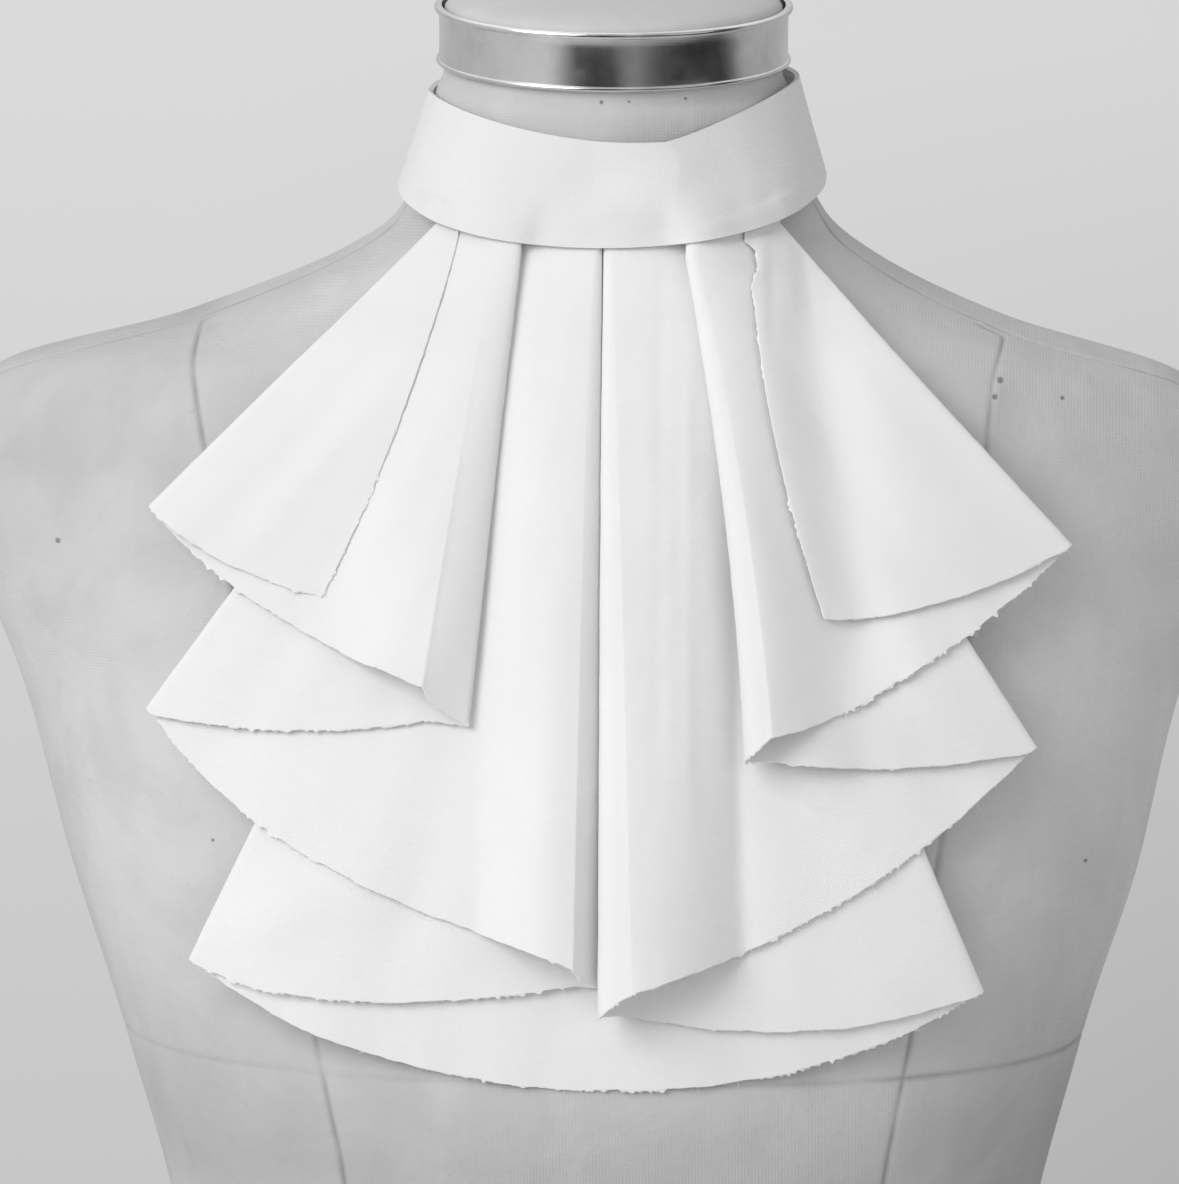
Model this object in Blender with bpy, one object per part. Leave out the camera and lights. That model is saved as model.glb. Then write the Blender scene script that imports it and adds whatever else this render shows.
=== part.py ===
"""A jabot collar on a limbless dress form.

The collar is a neck band with one circular-cut flounce pleated under its front edge. The flounce
is one sheet that runs to and fro across the chest: out to a fold, back under itself to the next,
down to a full panel on the chest and up again on the other side. The dress form is a torso with a
metal ring and a cap on its neck, standing on a flat board.

Tables are in millimetres, measured from the neck point: the middle of the band's lower front edge.
X runs to the viewer's right, Y to the back and Z up.
"""

import math
from collections import namedtuple

import bmesh
import bpy
import numpy as np

MM = 0.001
GAP = 0.3  # between two pieces that touch

# Where the neck point is
NECK_POINT_HEIGHT = 575.0  # above the table
SET_RIGHT = 4.73  # these two put the middle of the whole object over the origin
SET_BACK = 12.05

# Cloth
FLOUNCE_WALL = 1.0
BAND_WALL = 1.6
TUCK = 7.0  # how far the pleats run up behind the band
DRAPE_FLATNESS = 0.85  # the cloth bridges the chest's sides: 1 would cling to them
FLATTEST_RISE = -70.0  # it clings at the neck and bridges fully from here down
FULLEST_RISE = -228.0  # the bust line, below which the cloth falls plumb

# Neck ring, neck cap and base board
RING_RISE = 52.3
RING_HEIGHT = 16.8
RING_RADIUS = 50.5
RING_WALL = 1.2
RING_BEAD = 1.1  # radius of the rolled bead along its upper edge
BEAD_STEPS = 6
NECK_TILT = 10.5  # degrees, towards the front
NECK_LEAN_Y = -11.8  # the neck's axis at the ring's lower edge
CAP_RADIUS = 48.4
CAP_EDGE = 2.0
CAP_DOME = 7.0
DOME_STEPS = 5
NECK_SIDES = 40  # of the ring and the cap
BOARD_THICK = 15.0
BOARD_OVERHANG = 5.0
BOARD_ROUNDING = 3.0

# The torso's level sections, from the hips to the top of the neck. front and back are measured
# from middle, where the section is widest, and shift moves the section to the right. tilt is in
# degrees and lowers the section's front.
TorsoRow = namedtuple("TorsoRow", "rise half_width front back middle shift tilt power")
TORSO_ROWS = [
    TorsoRow(-560.0, 160.0, 98.0, 112.0, 0.0, 0.0, 0.0, 2.20),
    TorsoRow(-520.0, 165.0, 102.0, 116.0, 0.0, 0.0, 0.0, 2.20),
    TorsoRow(-430.0, 145.0, 92.0, 98.0, 0.0, 0.0, 0.0, 2.20),
    TorsoRow(-345.0, 118.0, 84.0, 80.0, 0.0, 0.0, 0.0, 2.20),
    TorsoRow(-280.0, 126.5, 105.0, 86.0, 0.0, 0.0, 0.0, 2.30),
    TorsoRow(-228.0, 139.5, 122.0, 93.0, 0.0, -0.5, 0.0, 2.40),
    TorsoRow(-180.0, 154.5, 117.0, 98.0, 0.0, -1.0, 0.0, 2.40),
    TorsoRow(-129.0, 168.0, 105.0, 101.0, 0.0, -2.5, 0.0, 2.30),
    TorsoRow(-100.0, 179.0, 98.0, 101.0, 0.0, -3.5, 0.0, 2.20),
    TorsoRow(-72.0, 189.0, 91.0, 98.0, 0.0, -4.5, 0.0, 2.15),
    TorsoRow(-52.0, 187.0, 86.0, 95.0, 0.0, -6.0, 0.0, 2.10),
    TorsoRow(-36.5, 172.0, 80.0, 90.0, 0.0, -6.5, 0.0, 2.05),
    TorsoRow(-20.0, 118.0, 70.5, 84.0, 0.0, -4.0, 0.0, 2.00),
    TorsoRow(-2.0, 77.0, 62.5, 77.0, 0.0, -1.0, 0.0, 2.00),
    TorsoRow(8.0, 63.0, 58.5, 72.0, -2.0, 0.0, 0.0, 2.00),
    TorsoRow(15.0, 58.6, 56.0, 68.0, -3.0, 0.0, 0.0, 2.00),
    TorsoRow(22.0, 55.6, 54.0, 65.0, -5.0, 0.0, 1.0, 2.00),
    TorsoRow(34.0, 52.5, 52.0, 57.0, -8.0, 0.0, 4.0, 2.00),
    TorsoRow(45.0, 50.6, 50.5, 51.0, -10.5, 0.0, 8.5, 2.00),
    TorsoRow(49.5, 48.6, 48.6, 48.6, -11.5, 0.0, 10.5, 2.00),
    TorsoRow(66.0, 48.4, 48.4, 48.4, -14.5, 0.0, 10.5, 2.00),
]
TORSO_STEP = 19.0  # between sections, along the outline
TORSO_SIDES = 44
OUTLINE_SAMPLES = 2000
NECK_FROM = -2.0  # above this the sections are the table's own rows

# The band's lower and upper edges. drop lowers the front of an edge, lift raises its back and
# lean raises its right side. power is the section's squareness. vee turns the front's dip from a
# round one (0) to a pointed one (1).
BandEdge = namedtuple("BandEdge", "rise half_width front back middle drop lift lean power vee")
BAND_LOWER = BandEdge(19.0, 61.0, 69.8, 63.5, -4.0, 19.0, 11.5, 0.015, 2.8, 0.0)
BAND_UPPER = BandEdge(45.0, 52.7, 53.4, 52.0, -8.0, 16.8, 9.5, 0.06, 2.1, 0.75)
VEE_POWER = 1.2
BAND_OVERLAP = 16.0  # degrees that the ends overlap on, each side of the centre back
LAP_START = 3.6  # the band leaves its line this many overlaps before its outer end
LAP_RAMP = 1.5  # and takes this many overlaps to come clear of the inner end
BAND_STEPS = 88
BAND_RISES = 4
CREASE_X = 15.0  # the soft upright crease right of the centre front
CREASE_HEIGHT = 2.2
CREASE_WIDTH = 9.0
DEEPEST_SHARE = 0.97  # of a section's half width, beyond which the chest is taken as flat

# The flounce's folds, from its free edge on the left to the one on the right. edge_ columns are
# where the fold leaves the band and hem_ columns where it ends. x and rise place the fold's line as
# seen from the front, lift is the height of its roll's middle over the chest, roll half the roll's
# depth and reach its width. slant raises the hem on the roll's front. bend bows the line to the
# right at half its length. crisp is the roll's front, from a flat slanted wall (1) to a round one
# (2), and tip how far the roll's tip lies towards its back, as a share of roll. turn is the side
# that the fold faces: -1 left, 1 right, 0 a free edge.
Fold = namedtuple(
    "Fold",
    "name edge_x edge_rise hem_x hem_rise edge_lift hem_lift edge_roll hem_roll"
    " edge_reach hem_reach slant bend crisp tip turn",
)
FOLDS = [
    Fold("left_edge", -41.5, 2.5, -76.0, -95.5, 8.5, 13.0, 0.0, 0.0, 0.0, 0.0, 0.0, 3.5, 2.0, 0.0, 0),
    Fold("left_upper", -47.2, 6.5, -125.0, -71.8, 7.2, 11.9, 0.8, 1.4, 1.0, 4.0, 0.0, 0.0, 2.0, 0.0, -1),
    Fold("left_inner", -23.5, -2.5, -35.0, -128.3, 7.5, 13.6, 1.7, 3.8, 6.0, 10.5, 8.0, 0.0, 1.0, 0.4, 1),
    Fold("left_middle", -33.0, -1.0, -125.0, -127.3, 4.6, 7.8, 0.7, 1.4, 1.0, 4.0, 0.0, 0.0, 2.0, 0.0, -1),
    Fold("left_centre", -2.2, -1.0, 1.6, -197.5, 3.9, 11.3, 1.3, 6.3, 2.0, 6.5, 4.5, 0.0, 1.1, 0.65, 1),
    Fold("left_lower", -19.0, -1.0, -111.5, -195.0, 1.9, 3.6, 0.7, 1.4, 1.0, 4.0, 0.0, 0.0, 2.0, 0.0, -1),
    Fold("right_lower", 19.0, -1.0, 106.7, -201.0, 1.9, 3.6, 0.7, 1.4, 1.0, 4.0, 0.0, 0.0, 2.0, 0.0, 1),
    Fold("right_centre", -0.4, -1.0, 2.1, -205.3, 3.9, 12.8, 1.3, 8.3, 2.0, 9.0, 6.0, 0.0, 2.0, -0.4, -1),
    Fold("right_middle", 31.5, -1.0, 120.6, -134.8, 4.6, 7.8, 0.7, 1.4, 1.0, 4.0, 0.0, 0.0, 2.0, 0.0, 1),
    Fold("right_inner", 22.5, -3.0, 41.0, -137.2, 6.8, 15.0, 1.2, 4.4, 4.0, 7.0, 5.0, 2.5, 1.5, 0.4, -1),
    Fold("right_upper", 48.0, 7.0, 129.7, -79.7, 7.2, 11.9, 0.8, 1.4, 1.0, 4.0, 0.0, 0.0, 2.0, 0.0, 1),
    Fold("right_edge", 39.5, 2.0, 62.0, -99.6, 8.5, 13.0, 0.0, 0.0, 0.0, 0.0, 0.0, -3.3, 2.0, 0.0, 0),
]
OPENING = 0.8  # under 1 the folds open sooner below the band than near the hem
TIP_RADIUS = 0.68  # least, at the tip of a roll
BACK_SQUARENESS = 6.0  # how much flatter a roll's back is where its tip lies near it

# A free edge is laid on the panel under it
EDGE_CLEAR = 1.9  # between the middles of the two walls
LAYING_ROUNDS = 3
LAYING_ROWS = 61  # of the panel's points that it is laid on
LAYING_COLUMNS = 81
NEAREST = 6  # of them, which give the height at one place
EDGE_DEGREE = 4  # of the smooth curve through those heights

# The panels between the folds, in the same order. sag is how far the hem bows below a straight
# line, skew moves the bow towards the first fold (positive) or the second (negative). fall is the
# width on which the cloth comes down from its higher fold, valley how far it then lies above the
# lower one, and crown how far the tube rises beyond its fold.
Panel = namedtuple("Panel", "steps sag skew fall valley crown")
PANELS = [
    Panel(4, 3.0, -0.2, 200.0, 0.0, 0.0),
    Panel(8, 3.5, 0.3, 34.0, 0.4, 0.0),
    Panel(5, 3.8, 0.0, 34.0, 0.3, 0.0),
    Panel(10, 9.5, 0.6, 31.0, 0.6, 2.6),
    Panel(6, 7.0, -0.3, 200.0, 0.0, 0.0),
    Panel(10, 30.5, 0.0, 200.0, 0.0, 0.0),
    Panel(6, 6.5, 0.0, 200.0, 0.0, 0.0),
    Panel(10, 7.0, -0.1, 34.0, 0.6, 0.0),
    Panel(5, 3.0, 0.0, 34.0, 0.3, 0.0),
    Panel(8, 4.5, 0.2, 21.0, 0.4, 0.0),
    Panel(4, 4.0, -0.3, 200.0, 0.0, 0.0),
]
FLANK = 1.5  # over 1 a tube's flank is steeper away from its fold
CROWN_WIDTH = 20.0  # from a fold to its tube's crest
WIDE_FALL = 100.0  # a fall over this goes right across the panel
ROLL_STEPS = 5
FLOUNCE_ROWS = 14
TUCKED_ROWS = [-1.0, -0.4]  # above the band's edge, as shares of TUCK
COLUMN_CROWDING = 1.6  # over 1 the columns are closer near a tube's fold
ROW_CROWDING = 1.35  # over 1 the rows are closer near the band


class SmoothTable:
    """Columns of a table as smooth functions of its rise, with no overshoot between rows."""

    def __init__(self, rows):
        self.rise = np.array([row.rise for row in rows])
        self.columns = {}
        for name in rows[0]._fields:
            values = np.array([getattr(row, name) for row in rows], float)
            self.columns[name] = (values, self.slopes(values))

    def slopes(self, values):
        step = np.diff(self.rise)
        chord = np.diff(values) / step
        slope = np.zeros(len(values))
        same_way = chord[:-1] * chord[1:] > 0
        before = 2 * step[1:] + step[:-1]
        after = step[1:] + 2 * step[:-1]
        chord_a = np.where(same_way, chord[:-1], 1.0)
        chord_b = np.where(same_way, chord[1:], 1.0)
        mean = (before + after) / (before / chord_a + after / chord_b)
        slope[1:-1] = np.where(same_way, mean, 0.0)
        slope[0], slope[-1] = chord[0], chord[-1]
        return slope

    def at(self, name, rise):
        values, slope = self.columns[name]
        rise = np.clip(rise, self.rise[0], self.rise[-1])
        i = np.clip(np.searchsorted(self.rise, rise) - 1, 0, len(values) - 2)
        step = self.rise[i + 1] - self.rise[i]
        t = (rise - self.rise[i]) / step
        return (
            values[i] * (1 + 2 * t) * (1 - t) ** 2
            + slope[i] * step * t * (1 - t) ** 2
            + values[i + 1] * t**2 * (3 - 2 * t)
            + slope[i + 1] * step * t**2 * (t - 1)
        )


TORSO = SmoothTable(TORSO_ROWS)


def smooth(t):
    """0 to 1 as t goes from 0 to 1, level at both ends."""
    t = np.clip(t, 0, 1)
    return t * t * (3 - 2 * t)


def placed(points):
    """Table millimetres to the object's own metres."""
    return (np.asarray(points, float) + (SET_RIGHT, SET_BACK, NECK_POINT_HEIGHT)) * MM


def new_object(name, points, faces, material, sharp_degrees=40.0):
    """One closed, smooth-shaded mesh object with its faces pointing out."""
    mesh = bpy.data.meshes.new(name)
    mesh.from_pydata([tuple(p) for p in points], [], faces)
    mesh.validate()
    body = bmesh.new()
    body.from_mesh(mesh)
    bmesh.ops.recalc_face_normals(body, faces=body.faces)
    body.to_mesh(mesh)
    body.free()
    mesh.shade_smooth()
    mesh.set_sharp_from_angle(angle=math.radians(sharp_degrees))
    mesh.materials.append(material)
    obj = bpy.data.objects.new(name, mesh)
    bpy.context.scene.collection.objects.link(obj)
    return obj


def new_material(name, colour, roughness, metallic=0.0):
    material = bpy.data.materials.new(name)
    material.use_nodes = True
    shader = material.node_tree.nodes["Principled BSDF"]
    shader.inputs["Base Color"].default_value = (*colour, 1.0)
    shader.inputs["Roughness"].default_value = roughness
    shader.inputs["Metallic"].default_value = metallic
    material.diffuse_color = (*colour, 1.0)
    return material


def oval(angle, half_width, front, back, power):
    """A superellipse: (across, depth) at each angle, which runs from the right over the back."""
    c, s = np.cos(angle), np.sin(angle)
    across = half_width * np.sign(c) * np.abs(c) ** (2 / power)
    depth = np.where(s < 0, front, back) * np.sign(s) * np.abs(s) ** (2 / power)
    return across, depth


def loft(rings):
    """Points and faces of closed rings joined in order, with both ends filled."""
    count = len(rings[0])
    points = np.concatenate(rings)
    faces = []
    for i in range(len(rings) - 1):
        for j in range(count):
            k = (j + 1) % count
            faces.append((i * count + j, i * count + k, (i + 1) * count + k, (i + 1) * count + j))
    faces.append(tuple(range(count))[::-1])
    faces.append(tuple(range((len(rings) - 1) * count, len(rings) * count)))
    return points, faces


def torso_ring(rise, sides, spread=0.0):
    """One section of the torso, grown by spread all round."""
    angle = np.arange(sides) * 2 * math.pi / sides
    across, depth = oval(
        angle,
        TORSO.at("half_width", rise) + spread,
        TORSO.at("front", rise) + spread,
        TORSO.at("back", rise) + spread,
        TORSO.at("power", rise),
    )
    tilt = math.radians(TORSO.at("tilt", rise))
    y = TORSO.at("middle", rise) + depth * math.cos(tilt)
    return np.stack([across + TORSO.at("shift", rise), y, rise + depth * math.sin(tilt)], axis=1)


def torso_rises():
    """Heights of the sections: evenly spaced along the side's outline, then the neck's own rows."""
    neck = [row.rise for row in TORSO_ROWS if row.rise > NECK_FROM]
    fine = np.linspace(TORSO_ROWS[0].rise, NECK_FROM, OUTLINE_SAMPLES)
    outline = np.stack([fine, TORSO.at("half_width", fine), TORSO.at("front", fine)], axis=1)
    length = np.concatenate([[0], np.cumsum(np.linalg.norm(np.diff(outline, axis=0), axis=1))])
    count = round(length[-1] / TORSO_STEP)
    return [*np.interp(np.linspace(0, length[-1], count + 1), length, fine), *neck]


def make_torso(material):
    rings = [torso_ring(rise, TORSO_SIDES) for rise in torso_rises()]
    points, faces = loft(rings)
    return new_object("form_torso", placed(points), faces, material)


def make_board(material):
    """The flat board under the hips, which the whole object stands on."""
    outline = torso_ring(TORSO_ROWS[0].rise, TORSO_SIDES, BOARD_OVERHANG)
    top = BOARD_THICK - NECK_POINT_HEIGHT
    lower, upper = outline.copy(), outline.copy()
    lower[:, 2] = -NECK_POINT_HEIGHT
    upper[:, 2] = top - GAP
    points, faces = loft([lower, upper])
    board = new_object("base_board", placed(points), faces, material)
    rounding = board.modifiers.new("rounded edges", "BEVEL")
    rounding.width = BOARD_ROUNDING * MM
    rounding.segments = 2
    rounding.limit_method = "ANGLE"
    return board


def turned(name, profile, sides, material):
    """A ring or disc turned from a closed profile of (radius, height) about the neck's axis."""
    body = bmesh.new()
    angles = [2 * math.pi * i / sides for i in range(sides)]
    columns = []
    for radius, height in profile:
        if radius == 0:
            columns.append([body.verts.new((0, 0, height * MM))] * sides)
        else:
            spot = [(radius * math.cos(a) * MM, radius * math.sin(a) * MM) for a in angles]
            columns.append([body.verts.new((x, y, height * MM)) for x, y in spot])
    loops = list(zip(columns, columns[1:] + columns[:1]))
    for low, high in loops:
        for j in range(sides):
            k = (j + 1) % sides
            corners = []
            for corner in (low[j], low[k], high[k], high[j]):
                if corner not in corners:
                    corners.append(corner)
            if len(corners) > 2:
                body.faces.new(corners)
    bmesh.ops.recalc_face_normals(body, faces=body.faces)
    mesh = bpy.data.meshes.new(name)
    body.to_mesh(mesh)
    body.free()
    mesh.shade_smooth()
    mesh.set_sharp_from_angle(angle=math.radians(40))
    mesh.materials.append(material)
    obj = bpy.data.objects.new(name, mesh)
    obj.location = placed((0.0, NECK_LEAN_Y, RING_RISE))
    obj.rotation_euler = (math.radians(NECK_TILT), 0, 0)
    bpy.context.scene.collection.objects.link(obj)
    return obj


def make_neck_ring(material):
    """The polished ring round the top of the neck, with a rolled bead along its upper edge."""
    inner = RING_RADIUS - RING_WALL
    bead = []
    for i in range(BEAD_STEPS + 1):
        a = math.pi * (i / BEAD_STEPS - 0.5)
        height = RING_HEIGHT - RING_BEAD * (1 - math.sin(a))
        bead.append((RING_RADIUS + RING_BEAD * math.cos(a), height))
    profile = [(inner, 0.0), (RING_RADIUS, 0.0), *bead, (inner, RING_HEIGHT)]
    return turned("neck_ring", profile, NECK_SIDES, material)


def make_neck_cap(material):
    """The low dome that closes the neck inside the ring."""
    seat = TORSO_ROWS[-1].rise - RING_RISE
    foot = seat / math.cos(math.radians(NECK_TILT)) + 2 * GAP
    dome = []
    for i in range(DOME_STEPS + 1):
        a = math.pi / 2 * i / DOME_STEPS
        dome.append((CAP_RADIUS * math.cos(a), foot + CAP_EDGE + CAP_DOME * math.sin(a)))
    dome[-1] = (0.0, dome[-1][1])
    profile = [(0.0, foot), (CAP_RADIUS, foot), *dome]
    return turned("neck_cap", profile, NECK_SIDES, material)


def band_edge(edge, angle):
    """Points of one edge of the band at each angle, which runs from the right over the back."""
    across, depth = oval(angle, edge.half_width, edge.front, edge.back, edge.power)
    reach = np.sqrt(np.clip(1 - (across / edge.half_width) ** 2, 0, 1))
    from_crease = across - CREASE_X
    end = np.where(from_crease > 0, edge.half_width - CREASE_X, edge.half_width + CREASE_X)
    pointed = 1 - (np.abs(from_crease) / end) ** VEE_POWER
    reach = np.where(depth < 0, reach * (1 - edge.vee) + pointed * edge.vee, reach)
    rise = edge.rise + edge.lean * across + np.where(depth < 0, -edge.drop, edge.lift) * reach
    return np.stack([across, edge.middle + depth, rise], axis=1)


def walled(grid, wall):
    """Points and faces of a closed wall round a grid of middle points (rows, columns, 3)."""
    rows, columns, _ = grid.shape
    normal = np.cross(np.gradient(grid, axis=1), np.gradient(grid, axis=0))
    half = normal / np.linalg.norm(normal, axis=2, keepdims=True) * wall / 2
    points = np.concatenate([(grid + half).reshape(-1, 3), (grid - half).reshape(-1, 3)])
    back = rows * columns
    faces = []
    for i in range(rows - 1):
        for j in range(columns - 1):
            a, b = i * columns + j, i * columns + j + 1
            c, d = b + columns, a + columns
            faces.append((a, b, c, d))
            faces.append((back + d, back + c, back + b, back + a))
    rim = list(range(columns))
    rim += [i * columns + columns - 1 for i in range(1, rows)]
    rim += [(rows - 1) * columns + j for j in range(columns - 2, -1, -1)]
    rim += [i * columns for i in range(rows - 2, 0, -1)]
    for a, b in zip(rim, rim[1:] + rim[:1]):
        faces.append((b, a, back + a, back + b))
    return points, faces


def make_band(material):
    """The neck band: a strip round the neck whose right end laps over the left one at the back."""
    overlap = math.radians(BAND_OVERLAP)
    angle = np.linspace(math.pi / 2 - overlap, math.pi / 2 + 2 * math.pi + overlap, BAND_STEPS)
    lower, upper = band_edge(BAND_LOWER, angle), band_edge(BAND_UPPER, angle)
    share = np.linspace(1, 0, BAND_RISES)[:, None, None]
    grid = lower[None] * (1 - share) + upper[None] * share
    outward = np.stack([np.cos(angle), np.sin(angle), np.zeros(len(angle))], axis=1)
    facing_front = np.sin(angle) < 0
    crease = CREASE_HEIGHT * np.exp(-np.abs(lower[:, 0] - CREASE_X) / CREASE_WIDTH) * facing_front
    lapped = smooth((angle - angle[-1] + LAP_START * overlap) / (LAP_RAMP * overlap))
    moved = crease + lapped * (BAND_WALL + 3 * GAP)
    grid = grid + outward[None] * moved[None, :, None]
    points, faces = walled(grid, BAND_WALL)
    return new_object("neck_band", placed(points), faces, material)


def chest(x, rise):
    """Y of the surface that the cloth follows: the chest, bridged at its sides."""
    rise = np.maximum(rise, FULLEST_RISE)
    power = TORSO.at("power", rise)
    flatness = 1 + (DRAPE_FLATNESS - 1) * np.clip(rise / FLATTEST_RISE, 0, 1)
    across = np.abs(x - TORSO.at("shift", rise)) * flatness
    share = np.clip(across / TORSO.at("half_width", rise), 0, DEEPEST_SHARE)
    return TORSO.at("middle", rise) - TORSO.at("front", rise) * (1 - share**power) ** (1 / power)


def chest_normal(x, rise):
    """Outward direction of that surface."""
    slope_x = chest(x + 0.5, rise) - chest(x - 0.5, rise)
    slope_z = chest(x, rise + 0.5) - chest(x, rise - 0.5)
    normal = np.stack([slope_x, -np.ones_like(slope_x), slope_z], axis=-1)
    return normal / np.linalg.norm(normal, axis=-1, keepdims=True)


def over_chest(foot, lift):
    """Points that stand lift off the chest over each foot (x, rise)."""
    x, rise = foot[..., 0], foot[..., 1]
    return np.stack([x, chest(x, rise), rise], axis=-1) + chest_normal(x, rise) * lift[..., None]


def foot_of(seen, lift):
    """The foot on the chest of a point lift off it that is seen at (x, rise) from the front."""
    foot = seen.copy()
    for _ in range(40):
        normal = chest_normal(foot[:, 0], foot[:, 1])
        foot = (foot + seen - normal[:, [0, 2]] * lift[:, None]) / 2
    return foot


class FoldLine:
    """One fold from above the band's edge down to the hem: its roll's feet, middles and frame."""

    def __init__(self, fold, share, leads_back):
        """share is 0 at the band's edge, 1 at the hem and below 0 in the tuck behind the band."""
        tucked = np.maximum(-share, 0)
        share = np.maximum(share, 0)
        edge, hem = np.array([fold.edge_x, fold.edge_rise]), np.array([fold.hem_x, fold.hem_rise])
        opened = share**OPENING
        self.turn = fold.turn
        self.crisp = 2 + (fold.crisp - 2) * opened
        self.front = 1 if leads_back else -1  # which side of the roll the sheet comes in on
        self.tip = fold.tip * opened
        self.roll = fold.edge_roll + (fold.hem_roll - fold.edge_roll) * opened
        reach = fold.edge_reach + (fold.hem_reach - fold.edge_reach) * opened
        self.reach = np.minimum(reach, self.roll**2 / TIP_RADIUS)
        self.slant = fold.slant * share**2
        down = (hem - edge) / np.linalg.norm(hem - edge)
        sideways = np.array([-down[1], down[0]])
        tip = edge + (hem - edge) * share[:, None] + tucked[:, None] * (0.0, TUCK)
        tip[:, 0] += fold.bend * 4 * share * (1 - share)
        self.seen = tip - sideways * self.turn * self.reach[:, None]
        self.lay(fold.edge_lift + (fold.hem_lift - fold.edge_lift) * opened)

    def lay(self, lift):
        """Sets the fold's height over the chest, and the places and directions that follow."""
        self.lift = lift
        self.foot = foot_of(self.seen, lift)
        self.middle = over_chest(self.foot, lift)
        self.normal = chest_normal(self.foot[:, 0], self.foot[:, 1])
        along = np.gradient(self.middle, axis=0)
        self.along = along / np.linalg.norm(along, axis=1, keepdims=True)
        side = np.cross(self.normal, along)
        side *= np.sign(side[:, :1])
        self.side = side / np.linalg.norm(side, axis=1, keepdims=True)
        step = np.gradient(self.foot, axis=0)
        self.down = step / np.linalg.norm(step, axis=1, keepdims=True)

    def turned(self, angle):
        """Points of the roll at an angle up from its tip, which lies nearer its back."""
        c, s = abs(math.cos(angle)), abs(math.sin(angle))
        if angle > 0:
            across = c ** (2 / self.crisp) * self.reach
            through = s ** (2 / self.crisp) * self.roll * (1 + self.tip) - self.roll * self.tip
            raised = self.slant * (1 - c)
        else:
            power = 2 + BACK_SQUARENESS * np.maximum(self.tip, 0)
            across = c ** (2 / power) * self.reach
            through = -(s ** (2 / power)) * self.roll * (1 - self.tip) - self.roll * self.tip
            raised = 0 * self.slant
        moved = self.side * self.turn * across[:, None] + self.normal * through[:, None]
        return self.middle + moved - self.along * raised[:, None]

    def lift_in(self):
        """Height of the sheet where it comes to this fold, and of where it leaves in lift_out."""
        return self.lift + self.front * self.roll * abs(self.turn)

    def lift_out(self):
        return self.lift - self.front * self.roll * abs(self.turn)


def panel_lift(panel, s, first, second, share, width):
    """Height over the chest at a share s of a panel's width, between its two folds' heights."""
    if first[-1] < second[-1]:
        s, first, second = 1 - s, second, first
    opened = np.maximum(share, 0)
    crown = panel.crown * opened * (1 - np.clip(1 - s * width / CROWN_WIDTH, 0, 1) ** 2)
    fall = np.minimum(panel.fall / width, 1.0)
    low = second + panel.valley * opened * (1 - fall)
    flank = 1 + (FLANK - 1) * np.clip(2 - 2 * fall, 0, 1)
    fallen = smooth(np.clip(s / fall, 0, 1) ** flank)
    beyond = smooth((s - fall) / np.maximum(1 - fall, 0.001))
    return first + crown * (1 - fallen) + (low - first) * fallen + (second - low) * beyond


def panel_column(panel, s, first, second, share):
    """Feet and heights of a panel's column at a share s of the way between two folds."""
    skewed = 1 + panel.skew * (1 - 2 * s)
    bow = panel.sag * 4 * s * (1 - s) * skewed * np.maximum(share, 0) ** 2
    if first.front < 0:
        bow = bow - first.slant * (1 - s) ** 2
    if second.front > 0:
        bow = bow - second.slant * s**2
    down = first.down * (1 - s) + second.down * s
    foot = first.foot * (1 - s) + second.foot * s + down * bow[:, None]
    width = np.linalg.norm(second.foot - first.foot, axis=1)
    return foot, panel_lift(panel, s, first.lift_out(), second.lift_in(), share, width)


def lay_edge(edge, panel, lines, share):
    """Lays a free edge on the panel between the next two folds, given finely in lines."""
    fine = np.linspace(0, 1, LAYING_ROWS)
    columns = [panel_column(panel, s, *lines, fine) for s in np.linspace(0, 1, LAYING_COLUMNS)]
    feet = np.concatenate([foot for foot, _ in columns])
    lifts = np.concatenate([lift for _, lift in columns])
    down = np.maximum(share, 0)
    for _ in range(LAYING_ROUNDS):
        resting = []
        for foot in edge.foot:
            distance = np.linalg.norm(feet - foot, axis=1)
            near = np.argsort(distance)[:NEAREST]
            weight = 1 / (distance[near] + 0.01)
            resting.append((lifts[near] * weight).sum() / weight.sum())
        fit = np.polyfit(down, resting, EDGE_DEGREE)
        edge.lay(np.polyval(fit, down) + EDGE_CLEAR)


def column_shares(panel, first, second):
    """Shares of a panel's width at its columns, which are closer together on a tube's flank."""
    even = np.arange(1, panel.steps) / panel.steps
    if panel.fall > WIDE_FALL:
        return even
    if first.lift_out()[-1] < second.lift_in()[-1]:
        return 1 - (1 - even) ** COLUMN_CROWDING
    return even**COLUMN_CROWDING


def flounce_grid(share):
    """Middle points of the flounce's wall: rows from the band to the hem, columns along the hem."""
    half = len(FOLDS) / 2
    fine = np.linspace(0, 1, LAYING_ROWS)
    lines = [FoldLine(fold, share, index < half) for index, fold in enumerate(FOLDS)]
    below = [FoldLine(fold, fine, index < half) for index, fold in enumerate(FOLDS)]
    lay_edge(lines[0], PANELS[1], below[1:3], share)
    lay_edge(lines[-1], PANELS[-2], below[-3:-1], share)
    columns = []
    for index, line in enumerate(lines):
        if index > 0:
            panel = PANELS[index - 1]
            for s in column_shares(panel, lines[index - 1], line):
                columns.append(over_chest(*panel_column(panel, s, lines[index - 1], line, share)))
        if line.turn:
            for angle in line.front * math.pi * (0.5 - np.arange(ROLL_STEPS + 1) / ROLL_STEPS):
                columns.append(line.turned(angle))
        else:
            columns.append(line.middle)
    return np.stack(columns, axis=1)


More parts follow.
